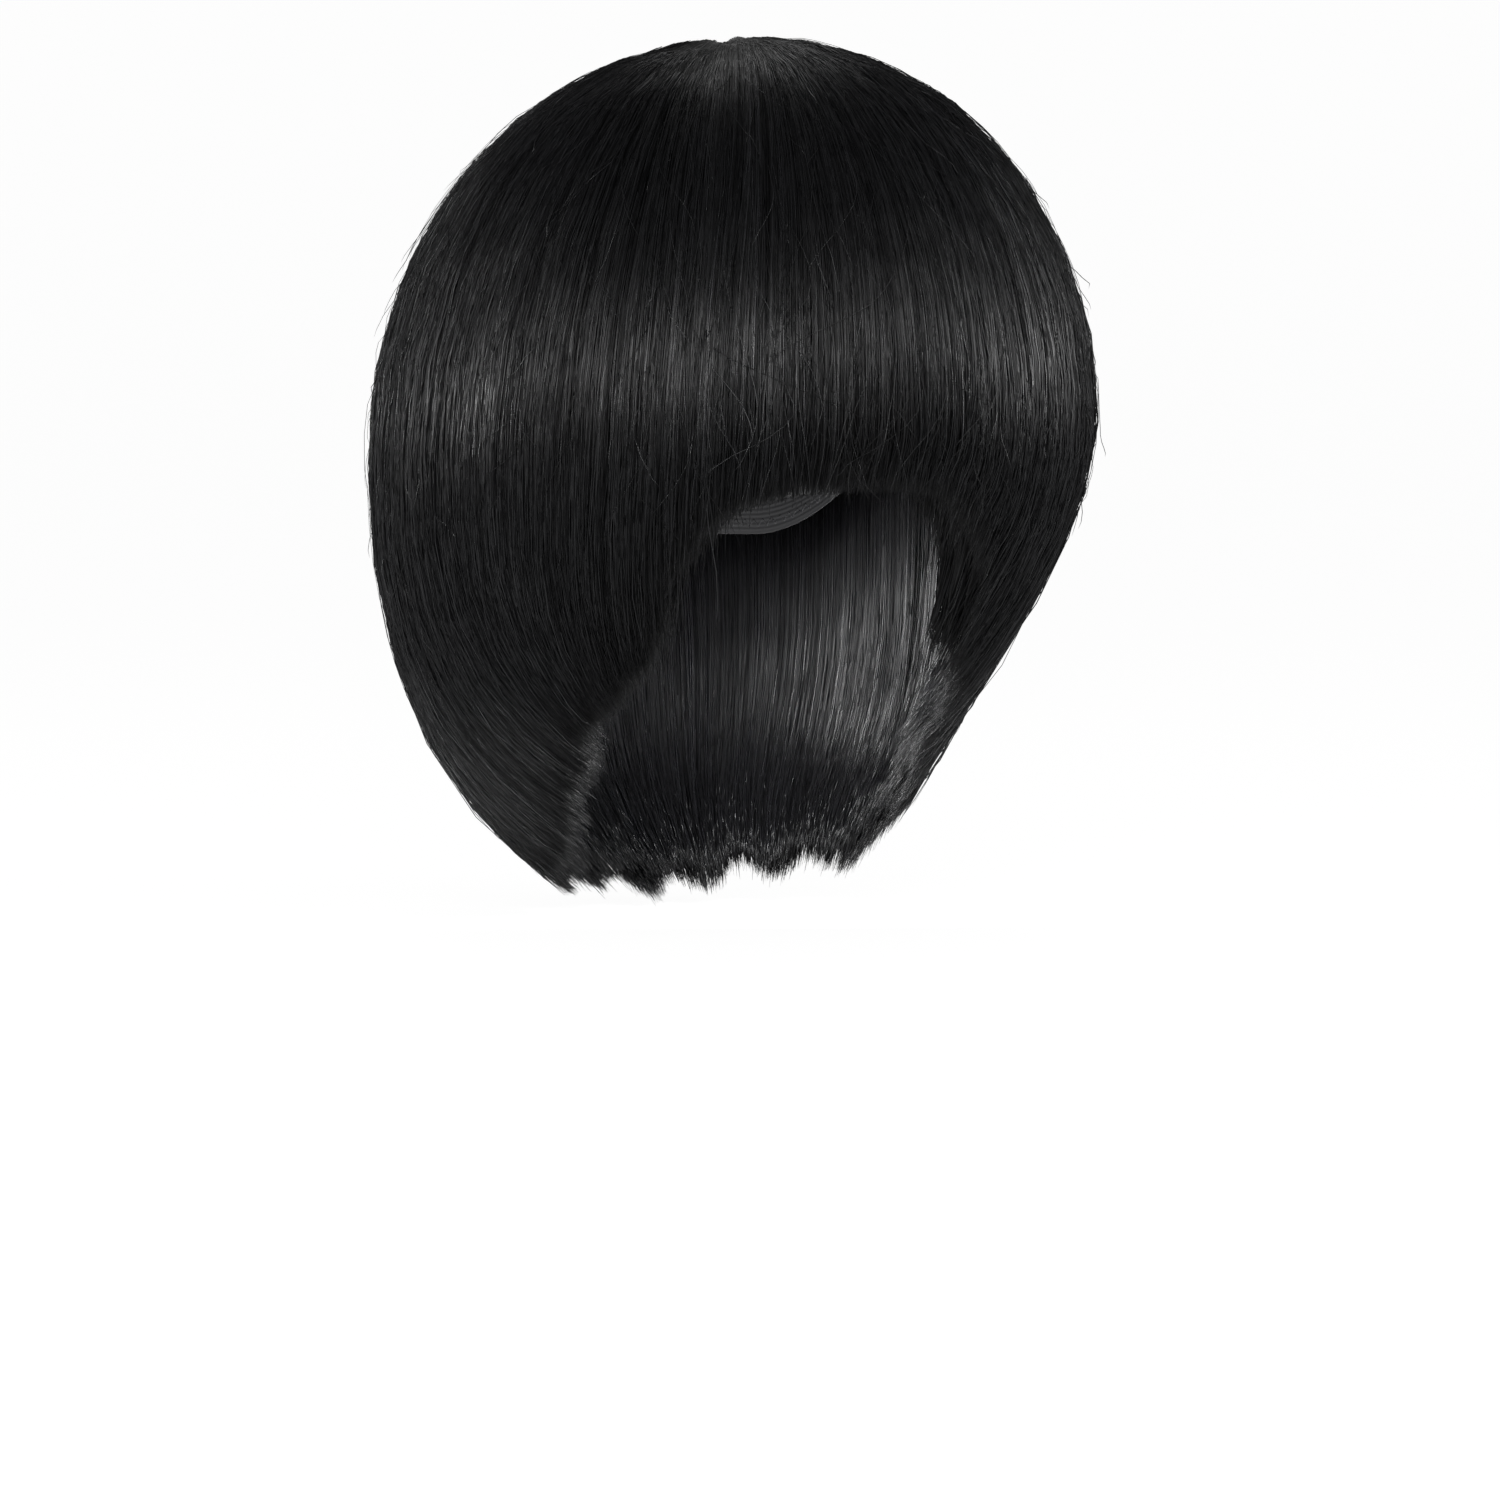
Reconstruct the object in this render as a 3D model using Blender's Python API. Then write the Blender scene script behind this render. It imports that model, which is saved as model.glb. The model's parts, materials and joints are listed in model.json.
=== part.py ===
"""A bowl-cut costume wig: a stretch cap, sewn weft rows, curtains of hair, ear tabs and adjuster straps.

Metres, +Z up, the wearer faces -Y, and the wearer's left is +X. The origin is the middle of the flat
inner face of the crown patch, where the wig rests on the top of a head.

A place on the wig is a turn and a fall, both in degrees. The turn goes round from the front, positive to
the wearer's left. The fall goes down from the crown, and is 90 at the widest level of the head.
"""

import math

import bmesh
import bpy
from mathutils import Matrix, Vector

MM = 0.001

# The head that the cap fits.
HEAD_HALF_WIDTH = 77 * MM
HEAD_HALF_DEPTH = 97 * MM
WIDEST_Z = -113 * MM
HEAD_RISE = 114 * MM
NECK_WIDTH_SHARE = 0.85
NECK_DEPTH_SHARE = 0.62
NECK_TUCK_FALL = 34.0
SEAT_FALL = 7.6

# The outside of the hair.
HAIR_HALF_WIDTH = 116.7 * MM
HAIR_HALF_DEPTH = 129.5 * MM
HAIR_RISE = 128 * MM
HAIR_LEAN = 14 * MM
HAIR_FULLNESS = 0.97
HAIR_TUCK = 16.5 * MM
HAIR_TUCK_POWER = 1.3
CHEEK_DROP = 120 * MM
NAPE_DROP = 173.5 * MM
CHEEK_TURN = 60.0
NAPE_TURN = 120.0

# The rim of the cap, lowest at the nape.
FRONT_RIM_FALL = 63.0
NAPE_RIM_FALL = 103.0
RIM_FALL_START = 45.0
RIM_FALL_SPAN = 105.0
BAND_FALL = 5.7
FRONT_BAND_TURN = 56.5
SIDE_BAND_TURN = 128.5

# How far each layer of the cap stands off the head: inner face, outer face.
BAND_LIFTS = (0.0, 0.8 * MM)
PATCH_LIFTS = (0.0, 1.2 * MM)
RIB_LIFTS = (1.3 * MM, 2.1 * MM)
WEFT_LIFTS = (2.6 * MM, 3.8 * MM)
INNER_STRIP_LIFTS = (-1.1 * MM, -0.4 * MM)
LINING_LIFTS = (-2.2 * MM, -1.5 * MM)
TAPE_LIFTS = (-0.9 * MM, -0.4 * MM)
HAIR_LIFT = 5.4 * MM
PATCH_FALL = 17.0
PART_TURN = 0.3
PART_FALL = 0.6
CAP_STEP = 7.5

# Weft rows, from the nape up, as a share of the way from the crown to the rim.
WEFT_SHARES = (0.97, 0.86, 0.74, 0.62, 0.50)
FRONT_WEFT_SHARES = (0.95, 0.76)
WEFT_HALF_FALL = 0.9
NAPE_ROW_TURN = 112.0
LONG_ROW_TURN = 48.0
FRONT_ROW_TURN = 40.0
RIB_TURNS = {
    "rib_back_centre": 180.0,
    "rib_back_left": 150.0,
    "rib_back_right": 210.0,
    "rib_side_left": 105.0,
    "rib_side_right": 255.0,
}
RIB_HALF_TURN = 2.6

# Hair curtains. Depth 0 is the inside of the hair and depth 1 is the outside.
HAIR_TURN_STEP = 8.0
HAIR_FALL_STEP = 7.5
TOP_HAIR_DEPTH = 0.62
LAYER_GAP = 0.03
RAMP_LEAD = 10.0
RAMP_FALL = 18.0
WHORL_FALL = 2.0
NAPE_END_FALL = 150.0
ARCH_TURN = 32.0
ARCH_END_FALL = 98.0
ARCH_CORNER_FALL = 16.0
CHEEK_END_TURN = 43.0
CHEEK_END_POWER = 0.4
BACK_HAIR_TURN = 112.0
ROW_SHORTER = 3.0

# Ear tabs.
TAB_TURN = 66.0
TAB_HALF_TURN = 9.0
TAB_END_FALL = 91.0
TAB_TAPER = 0.35
TAB_HINGE_FALL = 0.4
STAY_HALF_TURN = 1.4

# Adjuster straps, hooks and pocket tapes.
STRAP_TURN = 132.0
STRAP_ROOT_LIFT = -2.6 * MM
STRAP_REACH_TURN = 172.0
STRAP_REACH_LIFT = -10.0 * MM
STRAP_LENGTH = 29 * MM
STRAP_HALF_HEIGHT = 4.0 * MM
STRAP_THICKNESS = 0.7 * MM
STRAP_ROLL_RADIUS = 0.9 * MM
LOOP_LENGTH = 5.0 * MM
HOOK_BAR = 1.0 * MM
HOOK_FRAME_LENGTH = 4.2 * MM
HOOK_FRAME_HEIGHT = 10.4 * MM
HOOK_THICKNESS = 0.9 * MM
HOOK_TONGUE_LENGTH = 8.0 * MM
HOOK_TONGUE_HEIGHT = 4.6 * MM
HOOK_MOUTH = 1.1 * MM
TAPE_TURNS = (159.0, 177.0)
TAPE_MARGIN_FALL = 0.7
POCKET_COUNT = 4
POCKET_HEIGHT = 2.2 * MM
POCKET_CLOTH = 0.6 * MM

# Colour, roughness, metallic value.
FINISHES = {
    "hair": ((0.012, 0.012, 0.014, 1), 0.35, 0.0),
    "net": ((0.016, 0.016, 0.018, 1), 0.8, 0.0),
    "elastic": ((0.020, 0.020, 0.022, 1), 0.75, 0.0),
    "patch": ((0.030, 0.028, 0.028, 1), 0.85, 0.0),
    "velvet": ((0.026, 0.024, 0.025, 1), 0.95, 0.0),
    "weft": ((0.014, 0.014, 0.015, 1), 0.7, 0.0),
    "stay": ((0.550, 0.560, 0.580, 1), 0.45, 0.0),
    "hook": ((0.600, 0.600, 0.610, 1), 0.3, 1.0),
}


# ---- shapes of the head, the cap and the hair ----------------------------------------------------------


def smooth(share):
    """Rises from 0 to 1 with a level start and end."""
    share = min(max(share, 0.0), 1.0)
    return share * share * (3 - 2 * share)


def off_front(turn):
    """The angle between a turn and the front, from 0 to 180."""
    return abs((turn + 180.0) % 360.0 - 180.0)


def drop(turn):
    """How far the hair would reach below the widest level, if it went all the way down."""
    share = smooth((off_front(turn) - CHEEK_TURN) / (NAPE_TURN - CHEEK_TURN))
    return CHEEK_DROP + (NAPE_DROP - CHEEK_DROP) * share


def head_point(turn, fall):
    around = math.radians(turn)
    down = math.radians(fall)
    if fall <= 90.0:
        wide = deep = math.sin(down)
        height = HEAD_RISE * math.cos(down)
    else:
        tuck = math.exp(-(((fall - 90.0) / NECK_TUCK_FALL) ** 2))
        wide = NECK_WIDTH_SHARE + (1 - NECK_WIDTH_SHARE) * tuck
        deep = NECK_DEPTH_SHARE + (1 - NECK_DEPTH_SHARE) * tuck
        height = drop(turn) * math.cos(down)
    across = HEAD_HALF_WIDTH * wide * math.sin(around)
    return Vector((across, -HEAD_HALF_DEPTH * deep * math.cos(around), WIDEST_Z + height))


def cap_point(turn, fall, lift):
    """A point that stands off the head by the lift, square to its surface."""
    step = 0.5
    fall = max(fall, step)
    along = head_point(turn + step, fall) - head_point(turn - step, fall)
    downward = head_point(turn, fall + step) - head_point(turn, fall - step)
    normal = downward.cross(along).normalized()
    return head_point(turn, fall) + normal * lift


def outer_hair_point(turn, fall):
    """The outside of the hair: it leans forward over the brow and tucks back below the widest level."""
    around = math.radians(turn)
    down = math.radians(fall)
    swell = math.sin(down) ** HAIR_FULLNESS
    rise = HAIR_RISE if fall <= 90.0 else drop(turn)
    below = min(max((fall - 90.0) / (NAPE_END_FALL - 90.0), 0.0), 1.0)
    lean = HAIR_LEAN * max(math.cos(down), 0.0)
    lean -= HAIR_TUCK * math.sin(math.pi * below**HAIR_TUCK_POWER)
    across = HAIR_HALF_WIDTH * swell * math.sin(around)
    forward = HAIR_HALF_DEPTH * swell * math.cos(around) + lean
    return Vector((across, -forward, WIDEST_Z + rise * math.cos(down)))


def inner_hair_point(turn, fall):
    """On the cap the hair starts just above it, and below the cap it lies in towards the neck."""
    outer = outer_hair_point(turn, fall)
    share = 0.82 - 0.14 * smooth((off_front(turn) - 100.0) / 60.0)
    loose = Vector((outer.x * share, outer.y * share, outer.z))
    return cap_point(turn, fall, HAIR_LIFT).lerp(loose, smooth((fall - 98.0) / 45.0))


def hair_point(turn, fall, depth):
    return inner_hair_point(turn, fall).lerp(outer_hair_point(turn, fall), depth)


def rim_fall(turn):
    share = smooth((off_front(turn) - RIM_FALL_START) / RIM_FALL_SPAN)
    return FRONT_RIM_FALL + (NAPE_RIM_FALL - FRONT_RIM_FALL) * share


def evenly(start, end, count):
    return [start + (end - start) * step / count for step in range(count + 1)]


def ruled_lines(start, end, step):
    """The ends, and each multiple of the step between them."""
    first = math.floor(start / step) + 1
    last = math.ceil(end / step) - 1
    return [start] + [step * n for n in range(first, last + 1)] + [end]


# ---- making objects ------------------------------------------------------------------------------------


def clear_scene():
    for obj in list(bpy.data.objects):
        bpy.data.objects.remove(obj, do_unlink=True)


def finish_material(name, finish):
    colour, roughness, metallic = FINISHES[finish]
    material = bpy.data.materials.new(name)
    material.use_nodes = True
    shader = material.node_tree.nodes["Principled BSDF"]
    shader.inputs["Base Color"].default_value = colour
    shader.inputs["Roughness"].default_value = roughness
    shader.inputs["Metallic"].default_value = metallic
    material.diffuse_color = colour
    return material


def add_object(name, mesh, finish):
    """One named piece with its own material, shaded smooth on its round faces."""
    mesh.materials.append(finish_material(name, finish))
    mesh.shade_smooth()
    mesh.set_sharp_from_angle(angle=math.radians(40))
    piece = bpy.data.objects.new(name, mesh)
    bpy.context.collection.objects.link(piece)
    return piece


def mesh_from(bm, name):
    bmesh.ops.recalc_face_normals(bm, faces=bm.faces)
    mesh = bpy.data.meshes.new(name)
    bm.to_mesh(mesh)
    bm.free()
    return mesh


def shell_mesh(name, inside, outside, ring=False):
    """A closed sheet between two grids of points, each a list of columns. A ring's last column meets its first."""
    bm = bmesh.new()
    layers = []
    for grid in (inside, outside):
        layers.append([[bm.verts.new(point) for point in column] for column in grid])
    columns = len(inside)
    rows = len(inside[0])
    for column in range(columns if ring else columns - 1):
        after = (column + 1) % columns
        for row in range(rows - 1):
            for layer in layers:
                corners = (layer[column][row], layer[after][row])
                bm.faces.new(corners + (layer[after][row + 1], layer[column][row + 1]))
        for row in (0, rows - 1):
            corners = (layers[0][column][row], layers[0][after][row])
            bm.faces.new(corners + (layers[1][after][row], layers[1][column][row]))
    if not ring:
        for column in (0, columns - 1):
            for row in range(rows - 1):
                corners = (layers[0][column][row], layers[0][column][row + 1])
                bm.faces.new(corners + (layers[1][column][row + 1], layers[1][column][row]))
    bmesh.ops.remove_doubles(bm, verts=bm.verts, dist=0.2 * MM)
    return mesh_from(bm, name)


def cap_sheet(name, places, lifts, finish, ring=False):
    """A sheet of the cap: a grid of (turn, fall) places, between two heights above the head."""
    inside = [[cap_point(turn, fall, lifts[0]) for turn, fall in column] for column in places]
    outside = [[cap_point(turn, fall, lifts[1]) for turn, fall in column] for column in places]
    return add_object(name, shell_mesh(name, inside, outside, ring), finish)


def strip_places(turns, fall_ranges):
    """Places in columns, one for each turn, at the two ends of that turn's range of falls."""
    return [[(turn, fall) for fall in fall_range] for turn, fall_range in zip(turns, fall_ranges)]


def ruled_places(turns, start_at, end_at, step):
    """Places in columns, one for each turn. All the columns share the multiples of the step as their falls."""
    lines = ruled_lines(min(map(start_at, turns)), max(map(end_at, turns)), step)
    return [
        [(turn, min(max(line, start_at(turn)), end_at(turn))) for line in lines] for turn in turns
    ]


def pivot_empty(name, matrix):
    """An empty on a joint's axis, with its local Z along the axis of a hinge."""
    empty = bpy.data.objects.new(name, None)
    empty.empty_display_size = 5 * MM
    empty.matrix_world = matrix
    bpy.context.collection.objects.link(empty)
    return empty


def hang_on(piece, pivot, matrix):
    """Parents a piece whose mesh is in world space to an empty, and leaves it where it is."""
    piece.data.transform(matrix.inverted())
    piece.parent = pivot


# ---- the cap -------------------------------------------------------------------------------------------


def build_crown_patch():
    """A domed disc, flat underneath in the middle, where it rests on the head."""
    turns = evenly(0.0, 360.0 - 15.0, 23)
    falls = [SEAT_FALL, 0.5 * (SEAT_FALL + PATCH_FALL), PATCH_FALL]
    bm = bmesh.new()
    rims = []
    for lift in PATCH_LIFTS:
        rings = []
        for fall in falls:
            points = [cap_point(turn, fall, lift) for turn in turns]
            if lift == 0.0:
                points = [Vector((p.x, p.y, min(p.z, 0.0))) for p in points]
            rings.append([bm.verts.new(point) for point in points])
        for upper, lower in zip(rings, rings[1:]):
            for k in range(len(turns)):
                after = (k + 1) % len(turns)
                bm.faces.new((upper[k], upper[after], lower[after], lower[k]))
        bm.faces.new(rings[0])
        rims.append(rings[-1])
    for k in range(len(turns)):
        after = (k + 1) % len(turns)
        bm.faces.new((rims[0][k], rims[0][after], rims[1][after], rims[1][k]))
    add_object("crown_patch", mesh_from(bm, "crown_patch"), "patch")


def net_start(turn):
    return PATCH_FALL + PART_FALL


def build_cap_net():
    turns = evenly(0.0, 360.0 - CAP_STEP, round(360.0 / CAP_STEP) - 1)
    places = ruled_places(turns, net_start, lambda turn: rim_fall(turn) - BAND_FALL - PART_FALL, CAP_STEP)
    cap_sheet("cap_net", places, BAND_LIFTS, "net", ring=True)


def band_ranges(turns):
    return [(rim_fall(turn) - BAND_FALL, rim_fall(turn)) for turn in turns]


def build_bands():
    """The rim of the cap, in four lengths."""
    spans = {
        "front_band": (-FRONT_BAND_TURN, FRONT_BAND_TURN),
        "side_band_left": (FRONT_BAND_TURN + PART_TURN, SIDE_BAND_TURN),
        "nape_band": (SIDE_BAND_TURN + PART_TURN, 360.0 - SIDE_BAND_TURN - PART_TURN),
        "side_band_right": (360.0 - SIDE_BAND_TURN, 360.0 - FRONT_BAND_TURN - PART_TURN),
    }
    for name, (start, end) in spans.items():
        turns = ruled_lines(start, end, CAP_STEP)
        cap_sheet(name, strip_places(turns, band_ranges(turns)), BAND_LIFTS, "elastic")


def build_comfort_strip():
    turns = ruled_lines(-48.0, 48.0, CAP_STEP)
    ranges = [(rim_fall(turn) - BAND_FALL + 0.4, rim_fall(turn) - 0.4) for turn in turns]
    cap_sheet("comfort_strip", strip_places(turns, ranges), INNER_STRIP_LIFTS, "velvet")


def build_ribs():
    """Elastic ribs over the net, from the crown patch down to the rim bands."""
    for name, middle in RIB_TURNS.items():
        turns = [middle - RIB_HALF_TURN, middle, middle + RIB_HALF_TURN]
        places = ruled_places(turns, net_start, lambda turn: rim_fall(turn) - 1.0, CAP_STEP)
        cap_sheet(name, places, RIB_LIFTS, "elastic")


def build_weft(name, share, start, end):
    turns = ruled_lines(start, end, CAP_STEP)
    middles = [share * rim_fall(turn) for turn in turns]
    ranges = [(middle - WEFT_HALF_FALL, middle + WEFT_HALF_FALL) for middle in middles]
    cap_sheet(name, strip_places(turns, ranges), WEFT_LIFTS, "weft")


def build_wefts():
    for row, share in enumerate(WEFT_SHARES, start=1):
        start = NAPE_ROW_TURN if row == 1 else LONG_ROW_TURN
        build_weft(f"weft_row_{row}", share, start, 360.0 - start)
    for row, share in enumerate(FRONT_WEFT_SHARES, start=1):
        build_weft(f"front_weft_{row}", share, -FRONT_ROW_TURN, FRONT_ROW_TURN)


# ---- the hair ------------------------------------------------------------------------------------------


def ramp(fall, start):
    """How far a row of hair, which starts at a weft, has spread to its full thickness."""
    return smooth((fall - start + RAMP_LEAD) / RAMP_FALL)


def layer_depth(turn, fall, row, shares):
    """The depth of the outside of one row. It is straight between the ruled falls that all the rows share."""
    if row == 0:
        return 0.0
    full = TOP_HAIR_DEPTH * row / len(shares)
    start = shares[row - 1] * rim_fall(turn)
    low = HAIR_FALL_STEP * math.floor(fall / HAIR_FALL_STEP)
    share = (fall - low) / HAIR_FALL_STEP
    return full * ((1 - share) * ramp(low, start) + share * ramp(low + HAIR_FALL_STEP, start))


def hair_end(turn):
    """Where the hair is cut: an arch over the face, then lower past the cheek, and lowest at the nape."""
    off = off_front(turn)
    corner_fall = ARCH_END_FALL + ARCH_CORNER_FALL
    if off <= ARCH_TURN:
        return ARCH_END_FALL + ARCH_CORNER_FALL * (off / ARCH_TURN) ** 3
    share = min((off - ARCH_TURN) / CHEEK_END_TURN, 1.0)
    return corner_fall + (NAPE_END_FALL - corner_fall) * share**CHEEK_END_POWER


def hair_curtain(name, turns, start_at, end_at, inner_depth, outer_depth):
    """A curtain of hair between two depths, from one fall to another at each turn."""
    places = ruled_places(turns, start_at, end_at, HAIR_FALL_STEP)
    inside = [[hair_point(*place, inner_depth(*place)) for place in column] for column in places]
    outside = [[hair_point(*place, outer_depth(*place)) for place in column] for column in places]
    add_object(name, shell_mesh(name, inside, outside), "hair")


def build_hair_row(name, row, shares, start, end, end_at):
    hair_curtain(
        name,
        ruled_lines(start, end, HAIR_TURN_STEP),
        lambda turn: shares[row - 1] * rim_fall(turn) - WEFT_HALF_FALL,
        end_at,
        lambda turn, fall: layer_depth(turn, fall, row - 1, shares),
        lambda turn, fall: layer_depth(turn, fall, row, shares) - LAYER_GAP,
    )


def build_hair_rows():
    for row in range(1, len(WEFT_SHARES) + 1):
        start = NAPE_ROW_TURN if row == 1 else LONG_ROW_TURN
        shorter = ROW_SHORTER * (len(WEFT_SHARES) + 1 - row) / len(WEFT_SHARES)
        build_hair_row(
            f"hair_row_{row}",
            row,
            WEFT_SHARES,
            start,
            360.0 - start,
            lambda turn, shorter=shorter: hair_end(turn) - shorter,
        )
    for row in range(1, len(FRONT_WEFT_SHARES) + 1):
        build_hair_row(
            f"hair_front_row_{row}",
            row,
            FRONT_WEFT_SHARES,
            -FRONT_ROW_TURN + PART_TURN,
            FRONT_ROW_TURN - PART_TURN,
            lambda turn: hair_end(turn) - ROW_SHORTER,
        )


def build_top_hair():
    """The hair of the crown patch, which falls over all the rows in four curtains."""
    edge = FRONT_ROW_TURN
    back = BACK_HAIR_TURN
    spans = {
        "hair_top_front": (-edge + PART_TURN, edge - PART_TURN, FRONT_WEFT_SHARES),
        "hair_top_left": (edge + PART_TURN, back - PART_TURN, WEFT_SHARES),
        "hair_top_back": (back + PART_TURN, 360.0 - back - PART_TURN, WEFT_SHARES),
        "hair_top_right": (360.0 - back + PART_TURN, 360.0 - edge - PART_TURN, WEFT_SHARES),
    }
    for name, (start, end, shares) in spans.items():
        hair_curtain(
            name,
            ruled_lines(start, end, HAIR_TURN_STEP),
            lambda turn: WHORL_FALL,
            hair_end,
            lambda turn, fall, shares=shares: layer_depth(turn, fall, len(shares), shares),
            lambda turn, fall: 1.0,
        )


# ---- ear tabs ------------------------------------------------------------------------------------------


def tab_places(side, half_turn, top_gap, end_fall, columns, rows):
    """Places on an ear tab, which narrows towards its lower end."""
    places = []
    for across in evenly(-1.0, 1.0, columns):
        column = []
        for down in evenly(0.0, 1.0, rows):
            turn = side * (TAB_TURN + across * half_turn * (1 - TAB_TAPER * down**3))
            start = rim_fall(turn) + top_gap
            column.append((turn, start + (end_fall - start) * down))
        places.append(column)
    return places


def tab_hinge(side):
    """The hinge of an ear tab, along the rim: its middle and axis. A positive angle bends the tab inwards."""
    ends = []
    for turn in (TAB_TURN - 8.0, TAB_TURN + 8.0):
        fall = rim_fall(turn) + TAB_HINGE_FALL
        ends.append(cap_point(side * turn, fall, 0.5 * BAND_LIFTS[1]))
    axis = (ends[1] - ends[0]).normalized() * side
    return 0.5 * (ends[0] + ends[1]), axis


def build_ear_tab(side, suffix):
    middle, axis = tab_hinge(side)
    matrix = Matrix.Translation(middle) @ axis.to_track_quat("Z", "Y").to_matrix().to_4x4()
    pivot = pivot_empty(f"ear_tab_pivot_{suffix}", matrix)
    tab = tab_places(side, TAB_HALF_TURN, 2 * TAB_HINGE_FALL, TAB_END_FALL, 4, 6)
    stay = tab_places(side, STAY_HALF_TURN, 2.0, TAB_END_FALL - 3.0, 1, 6)
    lining = tab_places(side, TAB_HALF_TURN - 0.6, 1.6, TAB_END_FALL - 0.6, 4, 6)
    for name, places, lifts, finish in (
        ("ear_tab", tab, BAND_LIFTS, "elastic"),
        ("ear_stay", stay, INNER_STRIP_LIFTS, "stay"),
        ("ear_lining", lining, LINING_LIFTS, "velvet"),
    ):
        hang_on(cap_sheet(f"{name}_{suffix}", places, lifts, finish), pivot, matrix)


# ---- adjuster straps -----------------------------------------------------------------------------------


def strap_frame(side):
    """Local X runs along the strap, local Z is its hinge, and local Y is square to both."""
    root_fall = rim_fall(STRAP_TURN) - 0.5 * BAND_FALL
    reach_fall = rim_fall(STRAP_REACH_TURN) - 0.5 * BAND_FALL
    root = cap_point(side * STRAP_TURN, root_fall, STRAP_ROOT_LIFT)
    reach = cap_point(side * STRAP_REACH_TURN, reach_fall, STRAP_REACH_LIFT)
    along = (reach - root).normalized()
    inward = Vector((0.0, 0.0, 1.0)).cross(along).normalized()
    upward = along.cross(inward)
    turned = Matrix((along, inward, upward)).transposed().to_4x4()
    return Matrix.Translation(root) @ turned


def prism(outline, height, name):
    """A closed outline in the local XY plane, given a height about Z = 0."""
    bm = bmesh.new()
    base = [bm.verts.new((x, y, -0.5 * height)) for x, y in outline]
    face = bm.faces.new(base)
    grown = bmesh.ops.extrude_face_region(bm, geom=[face])
    moved = [item for item in grown["geom"] if isinstance(item, bmesh.types.BMVert)]
    bmesh.ops.translate(bm, verts=moved, vec=(0.0, 0.0, height))
    return mesh_from(bm, name)


def arc(centre, radius, start, end, steps):
    """Points on a round stretch of an outline, from one angle to another in degrees."""
    angles = [math.radians(angle) for angle in evenly(start, end, steps)]
    return [(centre[0] + radius * math.cos(a), centre[1] + radius * math.sin(a)) for a in angles]


def strap_outline():
    """A flat ribbon seen from above, with its sewn end rolled round the hinge."""
    half = 0.5 * STRAP_THICKNESS
    open_angle = math.degrees(math.asin(half / STRAP_ROLL_RADIUS))
    roll = arc((0.0, 0.0), STRAP_ROLL_RADIUS, open_angle, 360.0 - open_angle, 10)
    return roll + [(STRAP_LENGTH, -half), (STRAP_LENGTH, half)]


def loop_outline(start):
    """The strap's end seen from above: it goes round the hook's bar and back to its stitches."""
    outer = HOOK_THICKNESS * 0.5 + 0.4 * MM + STRAP_THICKNESS
    inner = outer - STRAP_THICKNESS
    bar = start + LOOP_LENGTH
    neck = start + 1.6 * MM
    shut = 0.5 * STRAP_THICKNESS
    outside = [(start, shut), (neck, shut + 0.2 * MM)] + arc((bar, 0.0), outer, 90.0, -90.0, 8)
    outside += [(neck, -shut - 0.2 * MM), (start, -shut)]
    inside = arc((bar, 0.0), inner, -90.0, 90.0, 8) + [(neck + 1.4 * MM, 0.0)]
    return outside, inside


def build_strap_loop(name, start):
    """A band with an eye: the ring between two outlines, over the strap's height."""
    outside, inside = loop_outline(start)
    eye = prism(inside, 3 * STRAP_HALF_HEIGHT, f"{name}_eye")
    body = add_object(name, prism(outside, 2 * STRAP_HALF_HEIGHT - 1.6 * MM, name), "elastic")
    cut_with(body, eye, "DIFFERENCE")
    return body


def cut_with(piece, mesh, operation):
    """Cuts a piece with a mesh, or joins the mesh to it. The mesh is kept as a hidden guide."""
    guide = bpy.data.objects.new(mesh.name, mesh)
    guide.hide_render = True
    guide.display_type = "WIRE"
    bpy.context.collection.objects.link(guide)
    modifier = piece.modifiers.new(mesh.name, "BOOLEAN")
    modifier.operation = operation
    modifier.solver = "EXACT"
    modifier.object = guide
    return guide


def block(low, high, name):
    """A box between two corners."""
    outline = [(low[0], low[1]), (high[0], low[1]), (high[0], high[1]), (low[0], high[1])]
    mesh = prism(outline, high[2] - low[2], name)
    mesh.transform(Matrix.Translation((0.0, 0.0, 0.5 * (low[2] + high[2]))))
    return mesh


def hook_outline(start, towards_band):
    """The hook seen from above: a plate that turns back on itself, towards the nape band."""
    half = 0.5 * HOOK_THICKNESS
    bend = (start + HOOK_TONGUE_LENGTH, half + 0.5 * HOOK_MOUTH)
    outer = HOOK_THICKNESS + 0.5 * HOOK_MOUTH
    inner = 0.5 * HOOK_MOUTH
    tip = start + 2.0 * MM
    points = [(start, -half)] + arc(bend, outer, -90.0, 90.0, 8)
    points += [(tip, bend[1] + outer - 0.2 * MM), (tip, bend[1] + inner + 0.2 * MM)]
    points += arc(bend, inner, 90.0, -90.0, 6) + [(start, half)]
    return [(x, towards_band * y) for x, y in points]


def build_hook(name, start, towards_band):
    """A slotted frame that holds the strap's loop, and a tongue that turns back to catch a pocket."""
    half = 0.5 * HOOK_THICKNESS
    tall = 0.5 * HOOK_FRAME_HEIGHT
    slot = tall - HOOK_BAR
    frame_end = start + HOOK_FRAME_LENGTH
    frame = block((start, -half, -tall), (frame_end, half, tall), name)
    hook = add_object(name, frame, "hook")
    slot_low = (start + HOOK_BAR, -2 * HOOK_THICKNESS, -slot)
    slot_high = (frame_end - HOOK_BAR, 2 * HOOK_THICKNESS, slot)
    slot_guide = cut_with(hook, block(slot_low, slot_high, f"{name}_slot"), "DIFFERENCE")
    tongue = prism(hook_outline(frame_end - 0.5 * HOOK_BAR, towards_band), HOOK_TONGUE_HEIGHT, f"{name}_tongue")
    tongue_guide = cut_with(hook, tongue, "UNION")
    return hook, [slot_guide, tongue_guide]


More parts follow.
